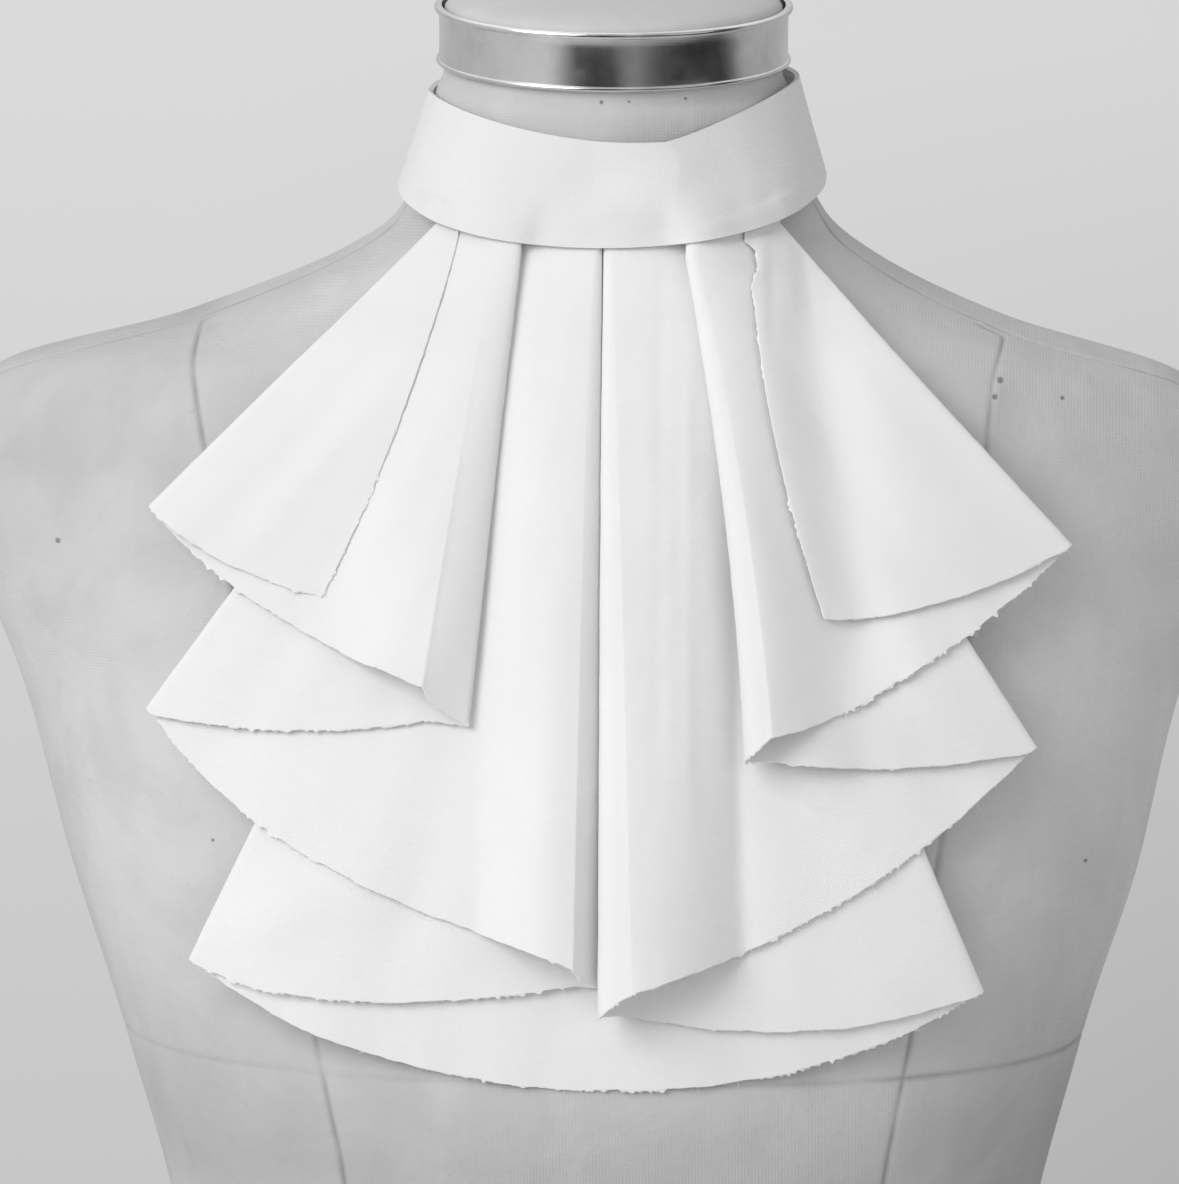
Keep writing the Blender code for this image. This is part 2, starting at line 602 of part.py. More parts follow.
def make_flounce(material):
    """The flounce: one pleated sheet under the band."""
    share = np.concatenate([TUCKED_ROWS, np.linspace(0, 1, FLOUNCE_ROWS) ** ROW_CROWDING])
    points, faces = walled(flounce_grid(share), FLOUNCE_WALL)
    return new_object("jabot_flounce", placed(points), faces, material, sharp_degrees=60.0)


def main():
    for obj in list(bpy.data.objects):
        bpy.data.objects.remove(obj, do_unlink=True)
    white_cotton = new_material("white cotton", (0.86, 0.86, 0.86), 0.9)
    grey_canvas = new_material("grey canvas", (0.52, 0.52, 0.52), 0.95)
    steel = new_material("polished steel", (0.62, 0.62, 0.62), 0.22, metallic=1.0)
    grey_enamel = new_material("grey enamel", (0.50, 0.50, 0.50), 0.5)
    wood = new_material("pale wood", (0.45, 0.42, 0.38), 0.55)
    make_board(wood)
    make_torso(grey_canvas)
    make_neck_ring(steel)
    make_neck_cap(grey_enamel)
    make_band(white_cotton)
    make_flounce(white_cotton)


main()
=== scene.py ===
"""The finished look of the jabot collar on its dress form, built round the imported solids.

Tables are those of part.py: millimetres from the neck point, which is the middle of the band's lower
front edge. X runs to the viewer's right, Y to the back and Z up. Meshes are placed in metres.
"""

import math
import random
from collections import namedtuple

import bpy
import numpy as np
from mathutils import Matrix, Vector


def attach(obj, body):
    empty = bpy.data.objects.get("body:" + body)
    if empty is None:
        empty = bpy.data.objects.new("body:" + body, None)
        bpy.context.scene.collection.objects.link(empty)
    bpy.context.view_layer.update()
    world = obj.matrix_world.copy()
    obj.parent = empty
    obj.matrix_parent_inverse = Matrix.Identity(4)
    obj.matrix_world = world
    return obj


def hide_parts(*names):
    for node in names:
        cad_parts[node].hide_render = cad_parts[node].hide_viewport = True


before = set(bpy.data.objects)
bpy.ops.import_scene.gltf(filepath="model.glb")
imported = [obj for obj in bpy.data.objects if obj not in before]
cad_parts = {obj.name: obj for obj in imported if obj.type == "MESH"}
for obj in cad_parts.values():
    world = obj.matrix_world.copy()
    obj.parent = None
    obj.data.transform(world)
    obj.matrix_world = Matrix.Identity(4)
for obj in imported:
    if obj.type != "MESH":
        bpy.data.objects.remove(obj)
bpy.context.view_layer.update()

MM = 0.001
NECK_POINT = (4.73, 12.05, 575.0)  # where the neck point is, in the frame's millimetres

# Neck ring and cap
RING_RISE = 52.3
RING_HEIGHT = 16.8
RING_RADIUS = 50.5
RING_WALL = 1.2
LIP_RADIUS = 0.75  # of the ring's rolled lip below
RIM_RADIUS = 1.0  # of its rolled rim above
NECK_TILT = 10.5
NECK_LEAN_Y = -11.8
CAP_RADIUS = 48.4
CAP_EDGE = 1.4
CAP_DOME = 7.0

# The torso. middle is the y of a section's middle, and power its squareness.
TorsoRow = namedtuple("TorsoRow", "rise half_width front back power shift middle tilt", defaults=(0, 0, 0))
TORSO_ROWS = [TorsoRow(*row) for row in (
    (-560, 160, 98, 112, 2.2),
    (-520, 165, 102, 116, 2.2),
    (-430, 145, 92, 98, 2.2),
    (-345, 118, 84, 80, 2.2),
    (-280, 126.5, 105, 86, 2.3),
    (-228, 139.5, 122, 93, 2.4, -0.5),
    (-180, 154.5, 117, 98, 2.4, -1),
    (-129, 168, 105, 101, 2.3, -2.5),
    (-100, 179, 98, 101, 2.2, -3.5),
    (-72, 189, 91, 98, 2.15, -4.5),
    (-52, 187, 86, 95, 2.1, -6),
    (-36.5, 172, 80, 90, 2.05, -6.5),
    (-20, 118, 70.5, 84, 2, -4),
    (-2, 77, 62.5, 77, 2, -1),
    (8, 63, 58.5, 72, 2, 0, -2),
    (15, 58.6, 56, 68, 2, 0, -3),
    (22, 55.6, 54, 65, 2, 0, -5, 1),
    (34, 52.5, 52, 57, 2, 0, -8, 4),
    (45, 50.6, 50.5, 51, 2, 0, -10.5, 8.5),
    (49.5, 48.6, 48.6, 48.6, 2, 0, -11.5, 10.5),
    (66, 48.4, 48.4, 48.4, 2, 0, -14.5, 10.5),
)]

# The canvas cover's seams. The princess seams run from the shoulders down, this far to each side.
PRINCESS_RISES = [-560, -345, -249, -218, -120, -53, -19]
PRINCESS_LEFT = [96, 60, 69.5, 75.5, 93.5, 106, 112]
PRINCESS_RIGHT = [96, 68, 81.5, 87, 102.5, 112.5, 118]
PRINCESS_TOP = -20.5
SHOULDER_SEAM_DROP = 3.6
SHOULDER_SEAM_ENDS = (-54, 15)
SIDE_SEAM_TOP = -56
BACK_SEAM_TOP = 40
LEVEL_SEAMS = [-345.0, -226.0]
SEAM_DEPTH = 0.5
SEAM_WIDTH = 0.75
# SEAM_DARKNESS is how far painted shade darkens the canvas in a seam's groove
SEAM_DARKNESS = 0.75
SEAM_SPACING = [8, 14, 14, 8, 5, 5, 22, 22, 5, 5]  # columns after each seam, as torso_anchors lists them
BESIDE_SEAM = (-2.4, -1.4, -0.65, 0.0, 0.65, 1.4, 2.4)  # columns of points at an upright seam
BY_LEVEL_SEAM = (-2.2, -1.3, -0.6, 0.0, 0.6, 1.3, 2.2)  # rows of points at a level one
TORSO_STEPS = 250
CANVAS_WAVE_HEIGHT = 0.25

# Patches of painted shade where the canvas is darker and, under 0, of painted light where it is
# paler, as seen from the front. A few small ones are stains.
Patch = namedtuple("Patch", "x rise across up soil")
PATCHES = [Patch(*row) for row in (
    (-165, -62, 45, 40, 0.16),
    (-106, -255, 60, 45, 0.20),
    (137, -262, 44, 55, 0.46),
    (140, -125, 30, 60, -0.14),
    (115, -44, 5, 8, 0.45),
    (8, 36, 26, 9, 0.07),
    (152, -55, 25, 30, 0.06),
    (-122, -18, 9, 6, 0.22),
    (20, -262, 60, 25, 0.08),
)]

# Small dark specks on the canvas, by their place as seen from the front and their radius. The three at
# rises 40 to 42 are painted shade in small gaps under the ring's lower edge; the rest are marks.
Speck = namedtuple("Speck", "x rise radius")
SPECKS = [Speck(*row) for row in (
    (-106.5, -164, 0.5),
    (-154, -84, 0.8),
    (-1.8, 40.4, 0.6),
    (5.9, 40.6, 0.4),
    (21.6, 41.6, 0.45),
    (110.4, -36, 0.9),
    (108.8, -40.5, 0.8),
    (128, -41, 0.6),
    (136, -170, 0.6),
)]

# The band. power is the front's squareness and right_power that of its right half, which is flatter.
BandEdge = namedtuple("BandEdge", "rise half_width front back middle drop lift lean power right_power vee")
BAND_LOWER = BandEdge(19, 61, 69.8, 63.5, -4, 19, 11.5, 0.015, 2.8, 2.15, 0)
BAND_UPPER = BandEdge(46, 52.7, 53.4, 52, -8, 17.5, 8.5, 0.0417, 2.1, 1.9, 0.75)
BAND_COLUMNS = 520
BAND_ROWS = 34
BAND_WALL = 1.3
BAND_FOOT_WALL = 0.32  # pressed thin where the band lies on the pleats
BAND_REST = 0.05  # between the band's foot and the pleats
BAND_OVERLAP = 16.0
LAP_LIFT = 2.5  # how far the outer end stands over the inner one
LAP_SHARES = (3.6, 1.5)  # where its rise starts before the end, and how long it is, in overlaps
BAND_WAVE_HEIGHT = 0.1
BAND_ROUND = 60.0  # turns the band's angle into millimetres along it
BY_PLEATS = 60.0  # half the width in which the band may lie on the pleats
FOOT_FROM = 0.6  # the share of its height from which the band is pressed thin
PUSHED_COLUMNS = 9  # how far to each side a push off the pleats spreads
CREASE_X = 15.0
POINTED_LEFT = 1.9
POINTED_RIGHT = 1.2

# The band's upright crease: where it runs at each height, how far it stands out, and how wide it
# fades to each side.
CREASE_RISES = [0, 8, 24, 30]
CREASE_LINE = [16.5, 18.5, 19, 15.5]
CREASE_OUT = 3.0
CREASE_LEFT = 24.0
CREASE_RIGHT = 15.0

# Soft dents and swellings of the band, by the place of their middle and their size across and up.
# side is 1 in front and -1 at the back.
Dent = namedtuple("Dent", "x rise across up out side", defaults=(1,))
BAND_DENTS = [Dent(*row) for row in (
    (-5.6, 17.5, 12, 6, -0.8),
    (-1, 9.5, 5, 3, 0.5),
    (-36, 27, 8, 9, 0.5),
    (-24, 9, 10, 6, -0.35),
    (33, 20, 9, 12, -0.6),
    (46, 12, 6, 7, 0.4),
    (-20, 40, 12, 8, -0.7, -1),
    (24, 44, 10, 12, 0.5, -1),
)]

# The surface that the flounce follows: the chest, flatter from FLATTEST_RISE down and hanging
# straight from FULLEST_RISE
DRAPE_FLATNESS = 0.85
FLATTEST_RISE = -70.0
FULLEST_RISE = -228.0
CHEST_END = 0.97  # the share of its half width where it stops turning back
SLOPE_STEP = 0.5
FOOT_ROUNDS = 40

# The folds, as in part.py. turn is 1 where a fold's tip points to the right, -1 to the left and 0 at a
# free edge. bend bows a fold's line to the right at half its length.
FOLD_COLUMNS = (
    "name turn edge_x edge_rise hem_x hem_rise edge_lift hem_lift edge_roll hem_roll"
    " edge_reach hem_reach slant bend crisp tip"
)
Fold = namedtuple("Fold", FOLD_COLUMNS, defaults=(0, 0, 0, 0, 0, 0, 2, 0))
FOLDS = [
    Fold("left_edge", 0, -41.5, 2.5, -76, -95.5, 8.5, 10.4, bend=3.5),
    Fold("left_upper", -1, -47.2, 6.5, -125, -71.8, 7.2, 8.9, 0.95, 1, 0.6, 3),
    Fold("left_inner", 1, -23.5, -2.5, -35, -128.3, 7, 10.3, 1.7, 4, 6, 12.8, 8, 0, 1, 0.8),
    Fold("left_middle", -1, -33, -1, -125, -127.3, 4.6, 6, 0.7, 1, 0.6, 3),
    Fold("left_centre", 1, -1.15, -1, 2.75, -197.5, 4.2, 11, 1.3, 6.8, 2, 7.5, 4.5, 0, 1, 0.75),
    Fold("left_lower", -1, -19, -1, -111.5, -195, 1.9, 3.1, 0.7, 1, 1, 3),
    Fold("right_lower", 1, 19, -1, 106.7, -201, 1.9, 3.1, 0.7, 1, 1, 3),
    Fold("right_centre", -1, -0.4, -1, 2.1, -205.3, 4.3, 12.3, 1.7, 8.3, 2, 9, 6, 0, 2.4, -0.2),
    Fold("right_middle", 1, 31.5, -1, 120.6, -134.8, 4.6, 6, 0.7, 1, 0.6, 3),
    Fold("right_inner", -1, 22.5, -3, 41, -137.2, 8.8, 14.6, 2.1, 4.6, 2.6, 6.8, 5, 2.5, 2, 0.4),
    Fold("right_upper", 1, 48, 7, 129.7, -79.7, 6.2, 8.9, 0.85, 1, 0.6, 3),
    Fold("right_edge", 0, 39.5, 2, 62, -99.6, 8.5, 10.4, bend=-3.3),
]
TUCK = 7.0  # how far the pleats run up behind the band
OPENING = 0.8
TIP_RADIUS = 0.4
BACK_SQUARENESS = 6.0
ROLL_STEPS = 10

# The panels. fall is the width in mm on which the cloth comes down from its higher fold, and
# valley how far it then lies above the lower one's height at the hem. With flank over 1 the fall is
# steeper away from the fold, under 1 next to it. With round 1 the fall is a parabola instead.
Panel = namedtuple("Panel", "steps sag skew fall flank round valley crown", defaults=(200, 1.5, 0, 0, 0))
PANELS = [
    Panel(5, 3, -0.2),
    Panel(9, 3.5, 0.3, fall=34, valley=0.4),
    Panel(6, 3.8, 0),
    Panel(13, 9.5, 0.6, fall=32, valley=0.6, crown=1.8),
    Panel(8, 7, -0.3),
    Panel(20, 30.5, 0),
    Panel(8, 6.5, 0),
    Panel(13, 7, -0.1, fall=34, round=1, valley=0.6),
    Panel(6, 3, 0, fall=28, valley=0.3, crown=2),
    Panel(10, 4.5, 0.2, fall=30, flank=0.75, valley=1.3),
    Panel(6, 4, -0.3, fall=16, flank=0.8, valley=0.2),
]
WIDE_FALL = 100.0  # a panel with a wider fall has even columns
ROUND_FALL = 1.8
CROWN_WIDTH = 20.0  # from a fold to its tube's crest, where the panel has a crown
COLUMN_CROWDING = 1.6

# The sheet
FLOUNCE_WALL = 0.45
FINENESS = 5
FLOUNCE_ROWS = 62
ROW_CROWDING = 1.35
TUCKED_ROWS = [-1.0, -0.7, -0.4, -0.15]  # rows behind the band, as shares of TUCK

# The free edges. Each lies on the panel behind it, and the right one curls over just under the band:
# it wanders to the right and stands off at these shares of its length.
EDGE_CLEAR = 0.62  # between the middle of a free edge and that of the panel it lies on
EDGE_ROUNDS = 3
EDGE_ROWS = 61
EDGE_COLUMNS = 81
EDGE_NEIGHBOURS = 6
EDGE_BENDS = 4
CURL_SHARES = [0.0, 0.015, 0.03, 0.07, 0.10, 0.12, 0.16, 0.25, 0.40]
CURL_ACROSS = [-1.0, 1.2, 2.4, 2.5, 0.9, -0.2, 0.4, 0.3, 0.0]
CURL_LIFT = [0.7, 0.8, 1.0, 1.0, 0.7, 0.6, 0.7, 1.2, 1.5]

# Ridges and, with a height under 0, troughs that run through all the layers alike, from one place
# to another as seen from the front.
Ridge = namedtuple("Ridge", "x rise end_x end_rise width height")
RIDGES = [Ridge(*row) for row in (
    (45.8, 1, 46.8, -22, 1.8, -0.5),
    (50.9, 0, 52, -16, 2, 0.5),
    (55.2, -3, 58, -20, 1.2, -0.3),
    (24, -48, 25.5, -140, 1.6, 0.3),
    (16, -20, 17, -120, 2.2, -0.25),
    (-20, -25, -22, -110, 3, 0.3),
    (-60, -40, -90, -75, 6, 0.5),
    (70, -35, 100, -85, 8, 0.6),
    (-60, -150, -75, -180, 9, 0.6),
    (62, -160, 78, -188, 9, -0.6),
    (20, -215, 26, -226, 10, 0.5),
    (-94, -185, -82, -235, 22, 5),
    (-108, -214, -52, -243, 13, -2.4),
    (57, 0, 71, -100, 10, -3.2),
    (-44, -165, -52, -186, 7, -0.7),
)]
RIDGE_FADE = 0.35  # the share of its length in which a ridge ends
STREAK_POLE = (0.0, 45.0)  # the creases of the cloth's weight run from about here
STREAK_START, STREAK_FULL = 50.0, 170.0  # from the pole
STREAK_HEIGHT = 0.3
STREAK_SPREAD = 110.0
STREAK_STRETCH = 0.12
RIPPLE_HEIGHT = 0.05

# The raw hem
HEM_INWARD = 1.2  # how far the lowest hem bends in to the body
HEM_INWARD_FROM = -207.0
HEM_FLUTTER = 0.35
HEM_FLUTTER_WIDTH = 3.0
HEM_JAG = 0.22
FRAY_FROM = 8  # the row of the flounce where its free edges come out of the band
FRAY_SEED = 41
FRAY_STEP = 0.4
FRAY_LIFT = 0.12
TUFTS = 1100
TUFT_WIDTHS = (0.3, 0.7)
TUFT_HEIGHTS = (0.05, 0.6)
THREADS = 150
THREAD_LENGTHS = (0.8, 2.6)
THREAD_RADII = (0.05, 0.09)
THREAD_CURL = 0.6
THREAD_SAG = (0.0, 0.0, -0.5)
THREAD_RINGS = 5
THREAD_SIDES = 3

# Where the band is laid on the pleats: the flounce's top rows, and first, end and step of the table
FRONT_ROWS = 14
FRONT_ACROSS = (-60.0, 61.0, 1.0)
FRONT_RISES = (-25.0, 30.0, 1.0)

# Uneven fields of waves, least being the shortest pitch in mm.
Field = namedtuple("Field", "seed count least")
SEAM_SHADE_WAVES = Field(3, 5, 2.0)
CANVAS_WAVES = Field(5, 4, 9.0)
BAND_WAVES = Field(61, 4, 3.0)
STREAKS = Field(17, 5, 1.7)
RIPPLES = Field(23, 6, 1.6)
HEM_JAGS = Field(29, 5, 1.1)
HEM_FLUTTERS = Field(31, 4, 1.5)
FRAY_PATCHES = Field(43, 3, 7.0)
FRAY_REACHES = Field(47, 5, 0.3)
FRAY_LIFTS = Field(53, 5, 0.6)
WAVE_GROWTH = 1.6

# What the polished ring mirrors all round: azimuths from the front in degrees, to the right
# positive, and the brightness at each
MIRROR_AZIMUTHS = [-180, -110, -95, -40, -26, 2, 14, 28, 38, 84, 96, 180]
MIRROR_LEVELS = [0.60, 0.55, 0.62, 0.70, 0.045, 0.035, 0.30, 0.11, 0.01, 0.01, 0.45, 0.55]
SOFT_LIGHT = 0.56

# Camera, light and floor. The camera aims at a table place, and the rest is in degrees and metres.
CAMERA_AIM = (-6.0, 0.0, -102.0)
CAMERA_DISTANCE = 1.65
CAMERA_AZIMUTH = 2.0
CAMERA_ELEVATION = 5.0
CAMERA_ROLL = 0.5
CAMERA_LENS = 172.0
Light = namedtuple("Light", "name place aim size power")
LIGHTS = [
    Light("key", (-1.7, -1.9, 1.7), (0, 0, 0.5), 1.8, 50),
    Light("fill", (1.9, -1.6, 1.1), (0, 0, 0.45), 1.4, 4),
]
FLOOR_RADIUS = 2.6
FLOOR_SIDES = 96


# Numbers and meshes

def placed(points):
    """Table millimetres to the frame's metres."""
    return (np.asarray(points, float) + NECK_POINT) * MM


def smooth(t):
    t = np.clip(t, 0, 1)
    return t * t * (3 - 2 * t)


def unit(vectors):
    return vectors / np.linalg.norm(vectors, axis=-1, keepdims=True)


def travelled(path):
    """How far along a line of points each of them is."""
    return np.concatenate([[0], np.cumsum(np.linalg.norm(np.diff(path, axis=0), axis=1))])


def waves(field, x, y=0.0):
    """A smooth uneven field between about -1 and 1, the same each run, of plane waves of growing pitch."""
    draw = random.Random(field.seed)
    total = 0.0
    for i in range(field.count):
        angle, phase = draw.uniform(0, 2 * math.pi), draw.uniform(0, 2 * math.pi)
        pitch = field.least * WAVE_GROWTH**i
        total = total + np.sin((x * math.cos(angle) + y * math.sin(angle)) / pitch + phase)
    return total / field.count**0.5


def blurred(values, spread):
    """Values as means over that many neighbours down their first axis, ends held."""
    reach = np.arange(-3 * spread, 3 * spread + 1)
    weight = np.exp(-0.5 * (reach / spread) ** 2)
    held = np.pad(values, [(3 * spread, 3 * spread)] + [(0, 0)] * (values.ndim - 1), mode="edge")
    return np.apply_along_axis(np.convolve, 0, held, weight / weight.sum(), "valid")


class SmoothTable:
    """A table's rows as smooth functions of its first column, the rise, with no overshoot between."""

    def __init__(self, rows):
        self.kind = type(rows[0])
        self.values = np.array(rows, float).T
        self.rises = self.values[0]
        step = np.diff(self.rises)
        chord = np.diff(self.values) / step
        same_way = chord[:, :-1] * chord[:, 1:] > 0
        before, after = 2 * step[1:] + step[:-1], step[1:] + 2 * step[:-1]
        first = np.where(same_way, chord[:, :-1], 1.0)
        second = np.where(same_way, chord[:, 1:], 1.0)
        mean = (before + after) / (before / first + after / second)
        inner = np.where(same_way, mean, 0.0)
        self.slopes = np.concatenate([chord[:, :1], inner, chord[:, -1:]], axis=1)

    def at(self, rise):
        """The row at each rise."""
        rise = np.clip(rise, self.rises[0], self.rises[-1])
        i = np.clip(np.searchsorted(self.rises, rise) - 1, 0, len(self.rises) - 2)
        step = self.rises[i + 1] - self.rises[i]
        t = (rise - self.rises[i]) / step
        return self.kind(*(
            self.values[:, i] * (1 + 2 * t) * (1 - t) ** 2
            + self.slopes[:, i] * step * t * (1 - t) ** 2
            + self.values[:, i + 1] * t**2 * (3 - 2 * t)
            + self.slopes[:, i + 1] * step * t**2 * (t - 1)
        ))


TORSO = SmoothTable(TORSO_ROWS)


def new_object(name, points, faces, material, sharp_degrees=60, uv=None, **attributes):
    """One mesh object. uv is a place on the flat cloth in metres for each point, an attribute a number."""
    mesh = bpy.data.meshes.new(name)
    mesh.from_pydata([tuple(p) for p in points], [], faces)
    mesh.validate()
    if uv is not None:
        layer = mesh.uv_layers.new(name="flat cloth")
        corner = np.empty(len(mesh.loops), np.int32)
        mesh.loops.foreach_get("vertex_index", corner)
        layer.data.foreach_set("uv", np.asarray(uv, np.float32)[corner].ravel())
    for attribute, values in attributes.items():
        made = mesh.attributes.new(attribute, "FLOAT", "POINT")
        made.data.foreach_set("value", np.asarray(values, np.float32).ravel())
    mesh.shade_smooth()
    mesh.set_sharp_from_angle(angle=math.radians(sharp_degrees))
    mesh.materials.append(material)
    obj = bpy.data.objects.new(name, mesh)
    bpy.context.scene.collection.objects.link(obj)
    return obj


def strip_faces(rows, columns, wrap=False):
    """Faces of a grid of points, which wrap closes across its columns."""
    faces = []
    for i in range(rows - 1):
        a, b = i * columns, (i + 1) * columns
        for j in range(columns if wrap else columns - 1):
            k = (j + 1) % columns
            faces.append((a + j, a + k, b + k, b + j))
    return faces


def tube_faces(rows, columns):
    """Faces of a tube, one ring of points to a row, closed at both ends."""
    ends = [tuple(range(columns))[::-1], tuple(range((rows - 1) * columns, rows * columns))]
    return strip_faces(rows, columns, wrap=True) + ends


def grid_normal(grid):
    return unit(np.cross(np.gradient(grid, axis=1), np.gradient(grid, axis=0)))


def walled(grid, wall):
    """Points and faces of a closed wall round a grid of middle points (rows, columns, 3)."""
    rows, columns, _ = grid.shape
    half = grid_normal(grid) * (np.zeros((rows, columns, 1)) + wall) / 2
    points = np.concatenate([(grid + half).reshape(-1, 3), (grid - half).reshape(-1, 3)])
    back = rows * columns
    faces = strip_faces(rows, columns)
    faces += [tuple(back + corner for corner in face[::-1]) for face in faces]
    index = np.arange(back).reshape(rows, columns)
    rim = np.concatenate([index[0], index[1:, -1], index[-1, -2::-1], index[-2:0:-1, 0]]).tolist()
    faces += [(b, a, back + a, back + b) for a, b in zip(rim, rim[1:] + rim[:1])]
    return points, faces


def developed(grid):
    """Flat places of a grid's points, in metres: lengths run along each row and down each column."""
    across = np.linalg.norm(np.diff(grid, axis=1), axis=2)
    down = np.linalg.norm(np.diff(grid, axis=0), axis=2)
    u = np.pad(np.cumsum(across, axis=1), ((0, 0), (1, 0)))
    v = np.pad(np.cumsum(down, axis=0), ((1, 0), (0, 0)))
    return np.stack([u - u[:, -1:] / 2, v], axis=-1) * MM


def cloth_object(name, grid, wall, flat, material, sharp_degrees):
    """A sheet of cloth with its wall. Both of its sides have the same places on the flat cloth."""
    points, faces = walled(grid, wall)
    uv = np.concatenate([flat.reshape(-1, 2)] * 2)
    return new_object(name, placed(points), faces, material, sharp_degrees, uv)


# Materials

def grey(level):
    return (level, level, level, 1.0)


class Nodes:
    """A node tree filled by short calls. Inputs are other nodes' outputs or plain values."""

    def __init__(self, tree):
        self.tree = tree

    def join(self, value, socket):
        if isinstance(value, bpy.types.NodeSocket):
            self.tree.links.new(value, socket)
        else:
            socket.default_value = value

    def add(self, kind, inputs=None, **settings):
        made = self.tree.nodes.new("ShaderNode" + kind)
        for key, value in settings.items():
            setattr(made, key, value)
        for key, value in (inputs or {}).items():
            self.join(value, made.inputs[key])
        return made

    def out(self, kind, inputs=None, output=0, **settings):
        return self.add(kind, inputs, **settings).outputs[output]

    def parts(self, vector):
        return self.add("SeparateXYZ", {"Vector": vector}).outputs

    def maths(self, operation, first, second=0.0):
        return self.out("Math", {0: first, 1: second}, operation=operation)

    def between(self, value, low, high, new_low=0.0, new_high=1.0, kind="SMOOTHSTEP"):
        inputs = {"Value": value, "From Min": low, "From Max": high, "To Min": new_low, "To Max": new_high}
        return self.out("MapRange", inputs, "Result", interpolation_type=kind)

    def blend(self, share, first, second):
        """A mix of two colours, which are sockets 6 and 7 of the node."""
        return self.out("Mix", {"Factor": share, 6: first, 7: second}, 2, data_type="RGBA")


class Shading(Nodes):
    """A material of one principled shader. solid and flat are places in the object and on the cloth."""

    def __init__(self, name, **sockets):
        self.material = bpy.data.materials.new(name)
        self.material.use_nodes = True
        super().__init__(self.material.node_tree)
        self.shader = self.tree.nodes["Principled BSDF"]
        for socket, value in sockets.items():
            self.shader.inputs[socket.replace("_", " ")].default_value = value
        places = self.add("TexCoord").outputs
        self.solid, self.flat = places["Object"], places["UV"]

    def finished(self, colour, normal, roughness=None):
        """The material, with these fed to its shader."""
        for value, socket in ((colour, "Base Color"), (normal, "Normal"), (roughness, "Roughness")):
            if value:
                self.join(value, self.shader.inputs[socket])
        return self.material

    def noise(self, vector, scale, detail, roughness=0.5, distortion=0.0):
        inputs = {"Vector": vector, "Scale": scale, "Detail": detail}
        return self.out("TexNoise", {**inputs, "Roughness": roughness, "Distortion": distortion}, "Fac")

    def mapped(self, **inputs):
        return self.out("Mapping", {"Vector": self.solid, **inputs}, "Vector")

    def vector(self, operation, first, second=(0.0, 0.0, 0.0)):
        found = "Value" if operation == "LENGTH" else "Vector"
        return self.out("VectorMath", {0: first, 1: second}, found, operation=operation)

    def attribute(self, name):
        return self.out("Attribute", output="Fac", attribute_name=name)

    def spotted(self, colour, field, low, high, share, spots):
        """A colour with that share of another one where a field rises from low to high."""
        return self.blend(self.between(field, low, high, 0.0, share), colour, spots)

    def bump(self, height, strength, distance, under=None):
        inputs = {"Height": height, "Strength": strength, "Distance": distance}
        if under is not None:
            inputs["Normal"] = under
        return self.out("Bump", inputs, "Normal")

    def weave(self, first, second, pitch):
        """Height of a plain weave over two coordinates, with that many metres between threads."""
        turns = 2 * math.pi / pitch
        warp, weft = [self.maths("SINE", self.maths("MULTIPLY", along, turns)) for along in (first, second)]
        return self.maths("ADD", warp, weft)


def cotton_material(name, tone):
    """Bleached cotton: a fine plain weave, slight slubs, soft and hardly shiny."""
    m = Shading(name, Roughness=0.88, Sheen_Weight=0.12, Sheen_Roughness=0.6, Specular_IOR_Level=0.25)
    slubs = m.noise(m.flat, 420.0, 3.0, 0.6)
    clouds = m.noise(m.solid, 22.0, 4.0, 0.55)
    fine = m.noise(m.flat, 2200.0, 2.0)
    colour = m.blend(m.between(clouds, 0.3, 0.7), grey(0.865 * tone), grey(0.89 * tone))
    colour = m.spotted(colour, slubs, 0.5, 0.8, 0.25, grey(0.82 * tone))
    along = m.parts(m.flat)
    threads = m.bump(m.weave(along["X"], along["Y"], 0.0005), 0.25, 0.00006)
    rough = m.bump(m.maths("ADD", slubs, fine), 0.12, 0.0002, threads)
    normal = m.bump(clouds, 0.25, 0.002, rough)
    through = m.out("BsdfTranslucent", {"Color": colour, "Normal": normal})
    mixed = m.out("MixShader", {0: 0.10, 1: m.shader.outputs[0], 2: through})
    m.join(mixed, m.tree.nodes["Material Output"].inputs["Surface"])
    return m.finished(colour, normal)


